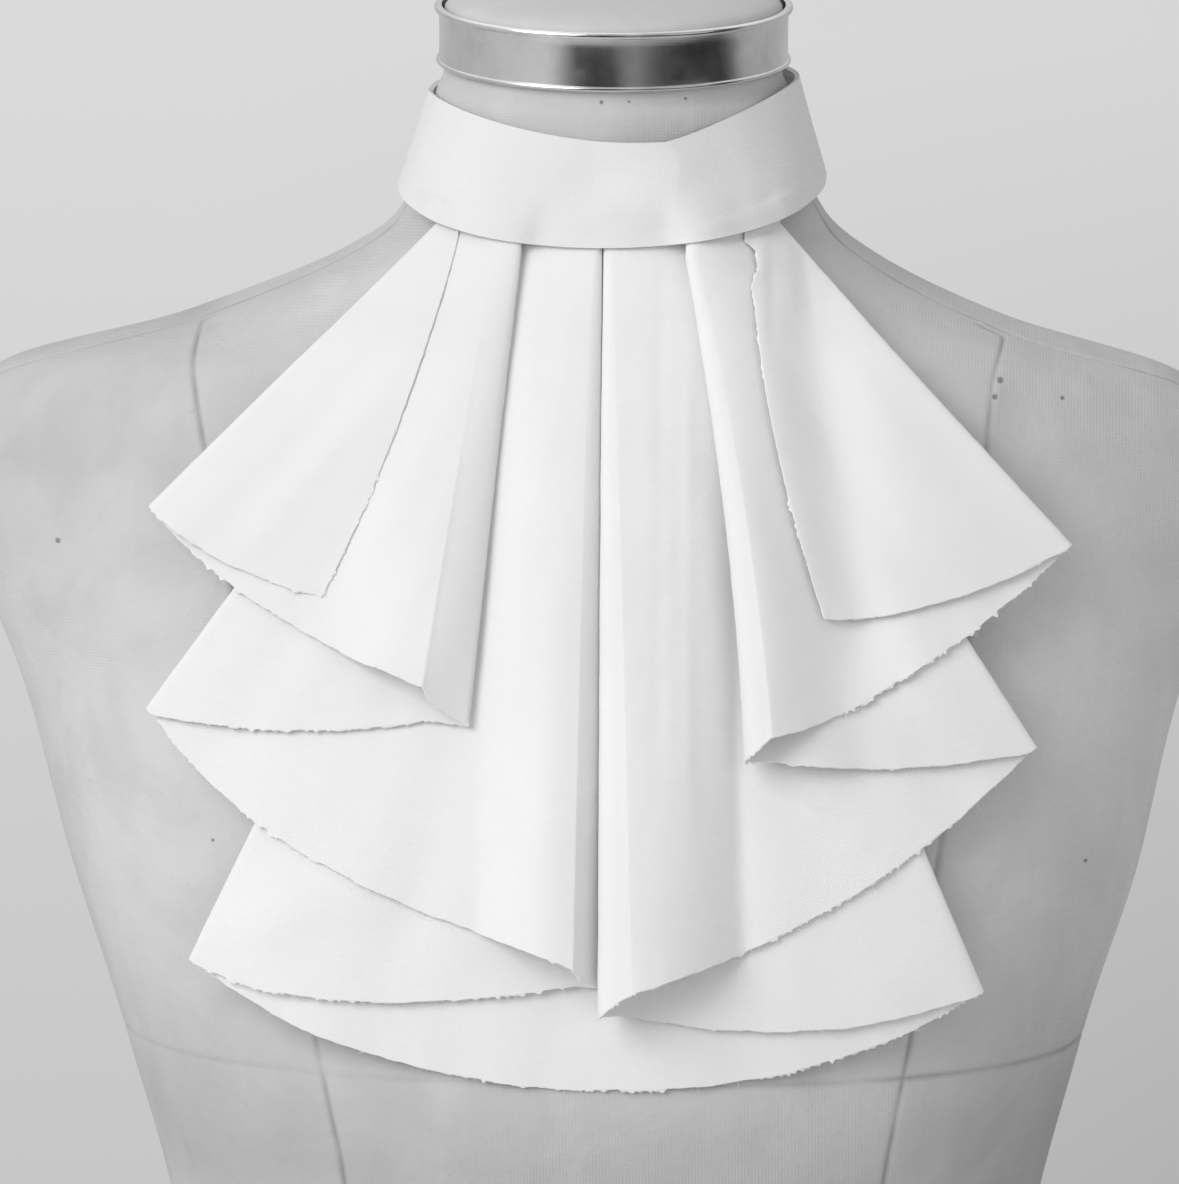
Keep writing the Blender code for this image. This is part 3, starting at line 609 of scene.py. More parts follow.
def canvas_material():
    """The form's cover: unbleached canvas over a hard shell, mottled, with painted shade along its seams,
    patches of painted shade and light, and dark specks.
    """
    m = Shading("grey canvas", Roughness=0.92, Specular_IOR_Level=0.2)
    broad = m.noise(m.solid, 7.0, 5.0, 0.6)
    blotch = m.noise(m.solid, 26.0, 4.0, 0.62, 0.4)
    grain = m.noise(m.solid, 330.0, 2.0)
    streak = m.noise(m.mapped(Scale=(60.0, 60.0, 5.0)), 1.0, 3.0)
    colour = m.blend(m.between(broad, 0.3, 0.7), grey(0.52), grey(0.62))
    colour = m.spotted(colour, blotch, 0.42, 0.68, 0.55, grey(0.50))
    colour = m.spotted(colour, streak, 0.5, 0.75, 0.35, grey(0.64))
    colour = m.spotted(colour, grain, 0.68, 0.78, 0.2, grey(0.38))
    # Painted shade where a patch is over 0 and painted light where it is under 0, with a few stains
    soil = m.attribute("soil")
    colour = m.blend(m.maths("MAXIMUM", soil), colour, grey(0.10))
    colour = m.blend(m.maths("MAXIMUM", m.maths("MULTIPLY", soil, -1.0)), colour, grey(0.95))
    # Specks: marks on the canvas, and painted shade just under the ring's lower edge
    for speck in SPECKS:
        off = m.vector("SUBTRACT", m.solid, placed((speck.x, 0.0, speck.rise)).tolist())
        seen = m.vector("LENGTH", m.vector("MULTIPLY", off, (1.0, 0.0, 1.0)))
        far = m.maths("MAXIMUM", seen, m.parts(off)["Y"])
        radius = speck.radius * MM
        colour = m.blend(m.between(far, 0.5 * radius, 1.4 * radius, 0.7, 0.0), colour, grey(0.10))
    # Painted shade in the seams' grooves
    colour = m.blend(m.attribute("tint"), colour, grey(0.24))
    along = m.parts(m.mapped(Rotation=(0.0, 0.0, 0.05)))
    threads = m.bump(m.weave(along["X"], along["Z"], 0.0009), 0.14, 0.0002)
    rough = m.bump(grain, 0.2, 0.0004, threads)
    return m.finished(colour, m.bump(blotch, 0.35, 0.003, rough))


def steel_material():
    """Polished steel with fine turned lines and faint wear."""
    m = Shading("polished steel", Metallic=1.0)
    wear = m.noise(m.solid, 90.0, 4.0, 0.6)
    lines = m.noise(m.mapped(Scale=(30.0, 30.0, 2600.0)), 1.0, 2.0)
    colour = m.blend(m.between(wear, 0.35, 0.75), grey(0.72), grey(0.62))
    return m.finished(colour, m.bump(lines, 0.06, 0.0002), m.between(wear, 0.3, 0.75, 0.16, 0.27))


def enamel_material():
    """Satin grey paint with slight orange peel and dust."""
    m = Shading("grey enamel")
    dust = m.noise(m.solid, 45.0, 5.0, 0.65)
    peel = m.noise(m.solid, 700.0, 2.0)
    colour = m.blend(m.between(dust, 0.35, 0.7), grey(0.50), grey(0.56))
    return m.finished(colour, m.bump(peel, 0.12, 0.0003), m.between(dust, 0.3, 0.7, 0.42, 0.62))


def wood_material():
    """Pale waxed birch: long grain with darker streaks."""
    m = Shading("pale wood")
    drawn = m.mapped(Scale=(6.0, 90.0, 90.0))
    grain = m.noise(drawn, 1.0, 6.0, 0.6, 0.6)
    pores = m.noise(drawn, 7.0, 3.0, 0.6)
    colour = m.blend(m.between(grain, 0.35, 0.7), (0.50, 0.46, 0.40, 1.0), (0.36, 0.32, 0.27, 1.0))
    colour = m.spotted(colour, pores, 0.6, 0.75, 0.4, (0.25, 0.21, 0.17, 1.0))
    normal = m.bump(m.maths("ADD", grain, pores), 0.15, 0.0004)
    return m.finished(colour, normal, m.between(grain, 0.3, 0.7, 0.42, 0.6))


# Shapes from part.py

def oval(angle, half_width, front, back, power):
    """A superellipse: (across, depth) at each angle, which runs from the right over the back."""
    c, s = np.cos(angle), np.sin(angle)
    across = half_width * np.sign(c) * np.abs(c) ** (2 / power)
    depth = np.where(s < 0, front, back) * np.sign(s) * np.abs(s) ** (2 / power)
    return across, depth


def torso_points(rise, angle):
    """Points of the torso at one rise and each angle."""
    body = TORSO.at(rise)
    across, depth = oval(angle, body.half_width, body.front, body.back, body.power)
    tilt = np.radians(body.tilt)
    y = body.middle + depth * np.cos(tilt)
    return np.stack([across + body.shift, y, rise + depth * np.sin(tilt)], axis=-1)


def band_edge(edge, angle):
    """Points of one edge of the band at each angle, which runs from the right over the back."""
    facing_right = (np.cos(angle) > 0) & (np.sin(angle) < 0)
    power = np.where(facing_right, edge.right_power, edge.power)
    across, depth = oval(angle, edge.half_width, edge.front, edge.back, power)
    reach = np.sqrt(np.clip(1 - (across / edge.half_width) ** 2, 0, 1))
    from_crease = across - CREASE_X
    end = np.where(from_crease > 0, edge.half_width - CREASE_X, edge.half_width + CREASE_X)
    pointed = 1 - (np.abs(from_crease) / end) ** np.where(from_crease > 0, POINTED_RIGHT, POINTED_LEFT)
    reach = np.where(depth < 0, reach * (1 - edge.vee) + pointed * edge.vee, reach)
    rise = edge.rise + edge.lean * across + np.where(depth < 0, -edge.drop, edge.lift) * reach
    return np.stack([across, edge.middle + depth, rise], axis=1)


def chest(x, rise):
    """Y of the surface that the cloth follows: the chest, bridged at its sides."""
    rise = np.maximum(rise, FULLEST_RISE)
    body = TORSO.at(rise)
    flatness = 1 + (DRAPE_FLATNESS - 1) * np.clip(rise / FLATTEST_RISE, 0, 1)
    share = np.clip(np.abs(x - body.shift) * flatness / body.half_width, 0, CHEST_END)
    return body.middle - body.front * (1 - share**body.power) ** (1 / body.power)


def chest_normal(x, rise):
    slope_x = chest(x + SLOPE_STEP, rise) - chest(x - SLOPE_STEP, rise)
    slope_z = chest(x, rise + SLOPE_STEP) - chest(x, rise - SLOPE_STEP)
    return unit(np.stack([slope_x, -np.ones_like(slope_x), slope_z], axis=-1))


def over_chest(foot, lift):
    """Points that stand lift off the chest over each foot (x, rise)."""
    x, rise = foot[..., 0], foot[..., 1]
    return np.stack([x, chest(x, rise), rise], axis=-1) + chest_normal(x, rise) * lift[..., None]


def foot_of(seen, lift):
    """The foot on the chest of a point lift off it that is seen at (x, rise) from the front."""
    foot = seen.copy()
    for _ in range(FOOT_ROUNDS):
        normal = chest_normal(foot[:, 0], foot[:, 1])
        foot = (foot + seen - normal[:, [0, 2]] * lift[:, None]) / 2
    return foot


class FoldLine:
    """One fold from above the band's edge down to the hem: its roll's feet, middles and frame."""

    def __init__(self, fold, share, leads_back):
        tucked = np.maximum(-share, 0)
        share = np.maximum(share, 0)
        opened = share**OPENING

        def grown(edge, hem):
            return edge + (hem - edge) * opened

        edge, hem = np.array([fold.edge_x, fold.edge_rise]), np.array([fold.hem_x, fold.hem_rise])
        self.turn = fold.turn
        self.crisp = grown(2, fold.crisp)
        self.front = 1 if leads_back else -1  # which side of the roll the sheet comes in on
        self.tip = fold.tip * opened
        self.roll = grown(fold.edge_roll, fold.hem_roll)
        self.reach = np.minimum(grown(fold.edge_reach, fold.hem_reach), self.roll**2 / TIP_RADIUS)
        self.slant = fold.slant * share**2
        down = (hem - edge) / np.linalg.norm(hem - edge)
        sideways = np.array([-down[1], down[0]])
        tip = edge + (hem - edge) * share[:, None] + tucked[:, None] * (0.0, TUCK)
        tip[:, 0] += fold.bend * 4 * share * (1 - share)
        self.seen = tip - sideways * self.turn * self.reach[:, None]
        self.lay(grown(fold.edge_lift, fold.hem_lift))

    def lay(self, lift):
        """Sets the fold's height over the chest, and the places and directions that follow."""
        self.lift = lift
        self.foot = foot_of(self.seen, lift)
        self.middle = over_chest(self.foot, lift)
        self.normal = chest_normal(self.foot[:, 0], self.foot[:, 1])
        along = np.gradient(self.middle, axis=0)
        side = np.cross(self.normal, along)
        self.along, self.side = unit(along), unit(side * np.sign(side[:, :1]))
        self.down = unit(np.gradient(self.foot, axis=0))

    def turned(self, angle):
        """Points of the roll at an angle up from its tip, which lies nearer its back."""
        c, s, facing = abs(math.cos(angle)), abs(math.sin(angle)), 1 if angle > 0 else -1
        squared = 2 + BACK_SQUARENESS * np.maximum(self.tip, 0)
        power = 2 / (self.crisp if facing > 0 else squared)
        across = c**power * self.reach * self.turn
        through = self.roll * (facing * s**power * (1 + facing * self.tip) - self.tip)
        raised = self.slant * (1 - c) * (facing > 0)
        moved = self.side * across[:, None] + self.normal * through[:, None]
        return self.middle + moved - self.along * raised[:, None]

    def lift_in(self):
        return self.lift + self.front * self.roll

    def lift_out(self):
        return self.lift - self.front * self.roll


def panel_lift(panel, s, first, second, share, width):
    """Height over the chest at a share s of a panel's width, between its two folds' heights."""
    if first[-1] < second[-1]:
        s, first, second = 1 - s, second, first
    opened = np.maximum(share, 0)
    crown = panel.crown * opened * (1 - np.clip(1 - s * width / CROWN_WIDTH, 0, 1) ** 2)
    fall = np.minimum(panel.fall / width, 1.0)
    low = second + panel.valley * opened * (1 - fall)
    flank = 1 + (panel.flank - 1) * np.clip(2 - 2 * fall, 0, 1)
    reached = np.clip(s / fall, 0, 1)
    fallen = smooth(reached**flank) * (1 - panel.round) + reached**ROUND_FALL * panel.round
    beyond = smooth((s - fall) / np.maximum(1 - fall, 0.001))
    return first + crown * (1 - fallen) + (low - first) * fallen + (second - low) * beyond


def panel_column(panel, s, first, second, share):
    """Feet and heights of a panel's column at a share s of the way between two folds."""
    skewed = 1 + panel.skew * (1 - 2 * s)
    bow = panel.sag * 4 * s * (1 - s) * skewed * np.maximum(share, 0) ** 2
    if first.front < 0:
        bow = bow - first.slant * (1 - s) ** 2
    if second.front > 0:
        bow = bow - second.slant * s**2
    down = first.down * (1 - s) + second.down * s
    foot = first.foot * (1 - s) + second.foot * s + down * bow[:, None]
    width = np.linalg.norm(second.foot - first.foot, axis=1)
    return foot, panel_lift(panel, s, first.lift_out(), second.lift_in(), share, width)


def lay_edge(edge, panel, lines, share):
    """Lays a free edge on the panel between the next two folds, given finely in lines."""
    fine = np.linspace(0, 1, EDGE_ROWS)
    columns = [panel_column(panel, s, *lines, fine) for s in np.linspace(0, 1, EDGE_COLUMNS)]
    feet = np.concatenate([foot for foot, _ in columns])
    lifts = np.concatenate([lift for _, lift in columns])
    down = np.maximum(share, 0)
    for _ in range(EDGE_ROUNDS):
        resting = []
        for foot in edge.foot:
            distance = np.linalg.norm(feet - foot, axis=1)
            near = np.argsort(distance)[:EDGE_NEIGHBOURS]
            weight = 1 / (distance[near] + 0.01)
            resting.append((lifts[near] * weight).sum() / weight.sum())
        edge.lay(np.polyval(np.polyfit(down, resting, EDGE_BENDS), down) + EDGE_CLEAR)


def column_shares(panel, first, second):
    """Shares of a panel's width at its columns, which are closer together on a tube's flank."""
    count = panel.steps * FINENESS
    even = np.arange(1, count) / count
    if panel.fall > WIDE_FALL:
        return even
    if first.lift_out()[-1] < second.lift_in()[-1]:
        return 1 - (1 - even) ** COLUMN_CROWDING
    return even**COLUMN_CROWDING


def flounce_grid(share):
    """Middle points of the flounce's wall: rows from the band to the hem, columns along the hem."""
    half = len(FOLDS) / 2
    fine = np.linspace(0, 1, EDGE_ROWS)
    lines = [FoldLine(fold, share, index < half) for index, fold in enumerate(FOLDS)]
    below = [FoldLine(fold, fine, index < half) for index, fold in enumerate(FOLDS)]
    lines[-1].seen[:, 0] += np.interp(share, CURL_SHARES, CURL_ACROSS)
    lines[-1].lay(lines[-1].lift)
    lay_edge(lines[0], PANELS[1], below[1:3], share)
    lay_edge(lines[-1], PANELS[-2], below[-3:-1], share)
    lines[-1].lay(lines[-1].lift + np.interp(share, CURL_SHARES, CURL_LIFT))
    columns = []
    for index, line in enumerate(lines):
        if index > 0:
            before, panel = lines[index - 1], PANELS[index - 1]
            for s in column_shares(panel, before, line):
                columns.append(over_chest(*panel_column(panel, s, before, line, share)))
        if line.turn:
            for angle in line.front * math.pi * (0.5 - np.arange(ROLL_STEPS + 1) / ROLL_STEPS):
                columns.append(line.turned(angle))
        else:
            columns.append(line.middle)
    return np.stack(columns, axis=1)


# The flounce

def ridges(x, rise):
    """How far the listed ridges bring the cloth forward at each place, the same in all layers."""
    total = np.zeros_like(x)
    for ridge in RIDGES:
        way = np.array([ridge.end_x - ridge.x, ridge.end_rise - ridge.rise])
        length = np.linalg.norm(way)
        right, up = way / length
        along = (x - ridge.x) * right + (rise - ridge.rise) * up
        across = (x - ridge.x) * up - (rise - ridge.rise) * right
        beyond = np.maximum(np.abs(along - length / 2) - length / 2, 0) / (RIDGE_FADE * length)
        total += ridge.height * np.exp(-((across / ridge.width) ** 2)) * smooth(1 - beyond)
    return total


def unevenness(x, rise):
    """Soft creases that run down from the neck, in all layers alike, so that they stay apart."""
    out = np.hypot(x - STREAK_POLE[0], rise - STREAK_POLE[1])
    turn = np.arctan2(x - STREAK_POLE[0], STREAK_POLE[1] - rise)
    streaks = waves(STREAKS, turn * STREAK_SPREAD, out * STREAK_STRETCH)
    streaks = streaks * smooth((out - STREAK_START) / (STREAK_FULL - STREAK_START))
    inward = HEM_INWARD * (np.maximum(HEM_INWARD_FROM - rise, 0) / (HEM_INWARD_FROM - FULLEST_RISE)) ** 2
    return STREAK_HEIGHT * streaks + ridges(x, rise) - inward


def make_flounce(material):
    """The pleated sheet with its creases, ripples and ragged hem, and the grid it is made on."""
    share = np.concatenate([TUCKED_ROWS, np.linspace(0, 1, FLOUNCE_ROWS) ** ROW_CROWDING])
    grid = flounce_grid(share)
    grid[..., 1] -= unevenness(grid[..., 0], grid[..., 2])
    flat = developed(grid)
    u, v = flat[..., 0] / MM, flat[..., 1] / MM
    ripples = RIPPLE_HEIGHT * waves(RIPPLES, u, v) * smooth(np.maximum(share, 0) * 8)[:, None]
    grid = grid + grid_normal(grid) * ripples[..., None]
    grid[-1] += unit(grid[-1] - grid[-2]) * (HEM_JAG * waves(HEM_JAGS, u[-1]))[:, None]
    flutter = np.exp(-(v[-1] - v) / HEM_FLUTTER_WIDTH) * np.abs(waves(HEM_FLUTTERS, u))
    grid[..., 1] -= HEM_FLUTTER * flutter
    return cloth_object("pleated_flounce", grid, FLOUNCE_WALL, flat, material, 75), grid


def thread(root, way, curl, length, radius):
    """Points and faces of one loose thread end, thinner to its tip."""
    across = unit(np.cross(way, curl))
    other = np.cross(way, across)
    points = []
    for t in np.arange(THREAD_RINGS) / THREAD_RINGS:
        middle = root + way * length * t + curl * length * THREAD_CURL * t * t
        for turn in 2 * math.pi * np.arange(THREAD_SIDES) / THREAD_SIDES:
            side = across * math.cos(turn) + other * math.sin(turn)
            points.append(middle + side * radius * (1 - 0.7 * t))
    points.append(root + way * length + curl * length * THREAD_CURL)
    faces = strip_faces(THREAD_RINGS, THREAD_SIDES, wrap=True)
    tip = THREAD_RINGS * THREAD_SIDES
    last = tip - THREAD_SIDES
    faces += [(last + j, last + (j + 1) % THREAD_SIDES, tip) for j in range(THREAD_SIDES)]
    faces.append(tuple(range(THREAD_SIDES))[::-1])
    return points, faces


def round_hem(values, inside=0):
    """A grid's values down its left edge, along the hem and up its right edge, or steps inside these."""
    left, right = values[FRAY_FROM:-1, inside], values[FRAY_FROM:-1, -1 - inside]
    return np.concatenate([left, values[-1 - inside], right[::-1]])


def make_fray(grid, material):
    """The raw edge: a ragged rim round the hem and both free edges, with loose thread ends."""
    path = round_hem(grid)
    reached = travelled(path)
    place = np.arange(0, reached[-1], FRAY_STEP)

    def along_edge(values):
        return np.stack([np.interp(place, reached, column) for column in values.T], axis=1)

    edge = along_edge(path)
    face = unit(blurred(along_edge(round_hem(grid_normal(grid))), 2))
    along = np.gradient(blurred(edge, 2), axis=0)
    out = np.cross(along, face)
    out *= np.sign((out * (edge - along_edge(round_hem(grid, 1)))).sum(axis=1, keepdims=True))
    out = unit(blurred(unit(out), 2))

    draw = random.Random(FRAY_SEED)
    patchy = smooth(0.45 + 0.9 * waves(FRAY_PATCHES, place))
    reach = 0.14 + 0.10 * np.abs(waves(FRAY_REACHES, place))
    for _ in range(TUFTS):
        middle, width = draw.uniform(0, place[-1]), draw.uniform(*TUFT_WIDTHS)
        height = draw.uniform(*TUFT_HEIGHTS) * np.interp(middle, place, patchy)
        reach += height * np.exp(-(((place - middle) / width) ** 2))
    lifted = FRAY_LIFT * waves(FRAY_LIFTS, place)
    upper, lower = [], []
    # The rim's three lines: how far out each lies, half its wall, and how much of the lift it takes
    for outward, half_wall, lift in ((-0.8, 0.10, 0.0), (0.05, 0.19, 0.15), (reach, 0.045, 1.0)):
        middle = edge + out * (outward + 0 * reach)[:, None] + face * (lifted * lift)[:, None]
        upper.append(middle + face * half_wall)
        lower.append(middle - face * half_wall)
    loop = upper + lower[::-1]
    points = list(np.stack(loop, axis=1).reshape(-1, 3))
    faces = tube_faces(len(place), len(loop))
    uv = [(at * MM, across * FRAY_STEP * MM) for at in place for across in (0, 1, 2, 2, 1, 0)]

    for _ in range(THREADS):
        i = int(draw.uniform(0.01, 0.99) * len(place))
        way = unit(out[i] + unit(along[i]) * draw.uniform(-1.3, 1.3) + face[i] * draw.uniform(-0.1, 0.35))
        curl = face[i] * draw.uniform(-0.2, 0.4) + THREAD_SAG
        curl += np.cross(way, face[i]) * draw.uniform(-0.8, 0.8)
        length, radius = draw.uniform(*THREAD_LENGTHS), draw.uniform(*THREAD_RADII)
        ends, sheets = thread(edge[i] - out[i] * 0.3, way, curl, length, radius)
        start = len(points)
        points += list(ends)
        uv += [(place[i] * MM, 0.0)] * len(ends)
        faces += [tuple(start + corner for corner in sheet) for sheet in sheets]
    return new_object("hem_fray", placed(points), faces, material, 75, uv)


# The band

def cloth_front(grid):
    """How far forward the pleats reach just under and behind the band: x and rise steps, and y there."""
    top = grid[:FRONT_ROWS]
    fine = np.linspace(0, len(top) - 1, 8 * len(top))
    low = np.floor(fine).astype(int).clip(0, len(top) - 2)
    part = (fine - low)[:, None, None]
    dense = top[low] * (1 - part) + top[low + 1] * part
    xs, zs = np.arange(*FRONT_ACROSS), np.arange(*FRONT_RISES)
    column = np.rint(dense[..., 0] - xs[0]).astype(int)
    row = np.rint(dense[..., 2] - zs[0]).astype(int)
    kept = (column >= 0) & (column < len(xs)) & (row >= 0) & (row < len(zs))
    reach = np.full((len(zs), len(xs)), np.inf)
    np.minimum.at(reach, (row[kept], column[kept]), dense[kept][:, 1])
    held = np.pad(reach, ((1, 1), (2, 2)), constant_values=np.inf)
    spread = np.min([held[i:i + len(zs), j:j + len(xs)] for i in range(3) for j in range(5)], axis=0)
    known = np.isfinite(spread)
    filled = np.where(known, spread, 0.0)
    total, weight = np.zeros_like(filled), np.zeros_like(filled)
    for down in range(-3, 4):
        for right in range(-5, 6):
            factor = math.exp(-0.5 * ((right / 2.0) ** 2 + (down / 1.3) ** 2))
            total += factor * np.roll(filled, (down, right), axis=(0, 1))
            weight += factor * np.roll(known, (down, right), axis=(0, 1))
    return xs, zs, np.where(known, total / np.maximum(weight, 1e-6), np.inf)


def looked_up(table, x, rise):
    """The table's y at each place, between its steps, and infinity where there is no cloth."""
    xs, zs, reach = table
    i = np.clip(np.floor(rise - zs[0]).astype(int), 0, len(zs) - 2)
    j = np.clip(np.floor(x - xs[0]).astype(int), 0, len(xs) - 2)
    s, t = np.clip(rise - zs[0] - i, 0, 1), np.clip(x - xs[0] - j, 0, 1)
    corners = [reach[i, j], reach[i, j + 1], reach[i + 1, j], reach[i + 1, j + 1]]
    shares = [(1 - s) * (1 - t), (1 - s) * t, s * (1 - t), s * t]
    known = np.isfinite(corners).all(axis=0) & (rise > zs[0]) & (rise < zs[-1]) & (np.abs(x) < xs[-1])
    found = sum(np.where(known, corner, 0.0) * share for corner, share in zip(corners, shares))
    return np.where(known, found, np.inf)


def band_relief(angle, x, rise):
    """How far the band stands out from its plain form: its crease, dents, soft waves and lapped end."""
    beside = x - np.interp(rise, CREASE_RISES, CREASE_LINE)
    fade = np.where(beside > 0, np.exp(-np.abs(beside) / CREASE_RIGHT), 1 - smooth(-beside / CREASE_LEFT))
    out = CREASE_OUT * fade * smooth(-np.sin(angle) * 3)
    for dent in BAND_DENTS:
        near = np.exp(-(((x - dent.x) / dent.across) ** 2) - ((rise - dent.rise) / dent.up) ** 2)
        out = out + dent.out * near * (np.sin(angle) * dent.side < 0)
    before_end, long = np.radians(BAND_OVERLAP) * np.array(LAP_SHARES)
    lapped = smooth((angle - angle[-1] + before_end) / long)
    return out + BAND_WAVE_HEIGHT * waves(BAND_WAVES, angle * BAND_ROUND, rise) + LAP_LIFT * lapped


def laid_on_pleats(grid, wall, front, forward, height, pleats):
    """The band's grid with its foot brought to the pleats, and then all of it pushed off them."""
    table = cloth_front(pleats)
    gap = FLOUNCE_WALL / 2 + wall / 2 + BAND_REST
    x, y, rise = grid[-1].T
    rest = looked_up(table, x, rise) - gap[-1]
    known = front & np.isfinite(rest)
    shift = np.where(known, rest - y, 0.0)
    shift = np.where(known, shift, np.interp(x, x[known], shift[known]) * front)
    shift = blurred(shift * forward[-1], 2)
    broad = blurred(shift, 14)
    grid[..., 1] += broad * height + (shift - broad) * smooth((height - 0.4) / 0.6)
    clear = looked_up(table, grid[..., 0], grid[..., 2]) - gap
    pushed = np.where(front, np.maximum(grid[..., 1] - clear, 0.0), 0.0)
    sideways = range(-PUSHED_COLUMNS, PUSHED_COLUMNS + 1)
    swollen = np.max([np.roll(pushed, by, axis=1) for by in sideways], axis=0)
    grid[..., 1] -= np.maximum(blurred(swollen.T, 3).T, pushed)
    return grid


def make_band(material, pleats):
    """The stand collar, doubled cloth with its long edges folded, lapped at the centre back."""
    overlap = math.radians(BAND_OVERLAP)
    angle = np.linspace(math.pi / 2 - overlap, math.pi / 2 + 2 * math.pi + overlap, BAND_COLUMNS)
    height = np.linspace(0, 1, BAND_ROWS)[:, None]  # 0 at the upper edge and 1 at the foot
    upper, lower = band_edge(BAND_UPPER, angle), band_edge(BAND_LOWER, angle)
    grid = lower * height[..., None] + upper * (1 - height[..., None])
    front = np.sin(angle) < 0
    forward = smooth((BY_PLEATS - np.abs(grid[..., 0])) / 6) * front
    outward = np.stack([np.cos(angle), np.sin(angle), 0 * angle], axis=1)
    grid = grid + outward * band_relief(angle, grid[..., 0], grid[..., 2])[..., None]
    pressed = smooth((height - FOOT_FROM) / (1 - FOOT_FROM)) * forward
    wall = BAND_WALL + (BAND_FOOT_WALL - BAND_WALL) * pressed
    grid = laid_on_pleats(grid, wall, front, forward, height, pleats)
    return cloth_object("stand_band", grid, wall[..., None], developed(grid), material, 50)


# The form

def seam_angle(x, rise):
    """The torso's angle, up from the side over the back, at which a section reaches x across."""
    body = TORSO.at(rise)
    return np.arccos(np.clip(x / body.half_width, 0, 0.999) ** (body.power / 2))


def torso_anchors(rise):
    """The columns that follow a seam at one height: (angle, how deep the seam is there)."""
    shoulder = seam_angle(TORSO.at(rise + SHOULDER_SEAM_DROP).half_width, rise)
    shoulder = min(max(shoulder, 0.2), 0.5)
    apart = 0.06 + 0.06 * float(smooth((rise + 21) / 5))
    left, right = [
        max(seam_angle(np.interp(rise, PRINCESS_RISES, reach), rise), shoulder + apart)
        for reach in (PRINCESS_LEFT, PRINCESS_RIGHT)
    ]
    low, high = SHOULDER_SEAM_ENDS
    princess = float(smooth((PRINCESS_TOP - rise) / 1.5))
    on_shoulder = 1.4 * float(smooth((rise - low) / 3) * smooth((high - rise) / 4))
    at_side = 0.7 * float(rise < SIDE_SEAM_TOP)
    return [
        (0.0, at_side),
        (right, 0.8 * princess),
        (math.pi / 2, 0.8 * float(rise < BACK_SEAM_TOP)),
        (math.pi - left, 0.8 * princess),
        (math.pi, at_side),
        (math.pi + shoulder, on_shoulder),
        (math.pi + left, princess),
        (math.pi * 1.5, 0.0),
        (math.pi * 2 - right, princess),
        (math.pi * 2 - shoulder, on_shoulder),
    ]


def torso_rises():
    """Heights of the fine rows: evenly spaced along the outline, closer at the level seams."""
    fine = np.linspace(TORSO_ROWS[0].rise, TORSO_ROWS[-1].rise, 6000)
    body = TORSO.at(fine)
    length = travelled(np.stack([fine, body.half_width, body.front], axis=1))
    rises = list(np.interp(np.linspace(0, length[-1], TORSO_STEPS), length, fine))
    for seam in LEVEL_SEAMS:
        rises = [rise for rise in rises if abs(rise - seam) > 2.6]
        rises += [seam + beside for beside in BY_LEVEL_SEAM]
    return np.array(sorted(rises))


def torso_row(rise):
    """Angles of one row's points, and how deep its upright seams are at each."""
    anchors = torso_anchors(rise)
    step = 0.01
    angles, depths = [], []
    for index, (angle, depth) in enumerate(anchors):
        pair = torso_points(rise, np.array([angle - step, angle + step]))
        arc = np.linalg.norm(pair[1] - pair[0]) / (2 * step)
        after = anchors[(index + 1) % len(anchors)][0] + 2 * math.pi * (index + 1 == len(anchors))
        angles += [angle + beside / arc for beside in BESIDE_SEAM]
        depths += [depth * math.exp(-((beside / SEAM_WIDTH) ** 2)) for beside in BESIDE_SEAM]
        reach = BESIDE_SEAM[-1] / arc
        angles += list(np.linspace(angle + reach, after - reach, SEAM_SPACING[index] + 2)[1:-1])
        depths += [0.0] * SEAM_SPACING[index]
    return np.array(angles), depths


def make_torso(material):
    """The form's body with its canvas cover's seams pressed in, and the painted shade of its seams and its
    patches of painted shade and light.
    """
    rises = torso_rises()
    angles, depths = zip(*(torso_row(rise) for rise in rises))
    grid = np.stack([torso_points(*row) for row in zip(rises, angles)])
    groove = np.array(depths)
    x, y, rise = np.moveaxis(grid, -1, 0)
    for seam in LEVEL_SEAMS:
        level = np.exp(-(((rises - seam) / SEAM_WIDTH) ** 2))[:, None]
        groove = np.maximum(groove, level * (0.35 + 0.65 * smooth((x - 60) / 30)))
    uneven_shade = 0.65 + 0.35 * waves(SEAM_SHADE_WAVES, x + y, rise)
    uneven = CANVAS_WAVE_HEIGHT * waves(CANVAS_WAVES, x, rise + 0.7 * y)
    wrapped = np.concatenate([grid[:, -1:], grid, grid[:, :1]], axis=1)
    normal = grid_normal(wrapped)[:, 1:-1]
    grid = grid - normal * (SEAM_DEPTH * groove - uneven)[..., None]
    x, y, rise = np.moveaxis(grid, -1, 0)
    # Patches of painted shade and, under 0, painted light, with a few stains
    soil = np.zeros_like(x)
    for patch in PATCHES:
        near = ((x - patch.x) / patch.across) ** 2 + ((rise - patch.rise) / patch.up) ** 2
        soil += patch.soil * np.exp(-near) * (y < 0)
    faces = tube_faces(*x.shape)
    # Painted shade along the seams, as deep as their grooves and uneven along them
    tint = SEAM_DARKNESS * np.clip(groove * uneven_shade, 0, 1)
    return new_object("canvas_torso", placed(grid.reshape(-1, 3)), faces, material, tint=tint, soil=soil)


def arc(centre, across, up, start, end, steps):
    """Points (radius, height) of a profile's arc, from one angle in degrees to another."""
    angles = np.radians(np.linspace(start, end, steps + 1))
    return [(centre[0] + across * math.cos(a), centre[1] + up * math.sin(a)) for a in angles]


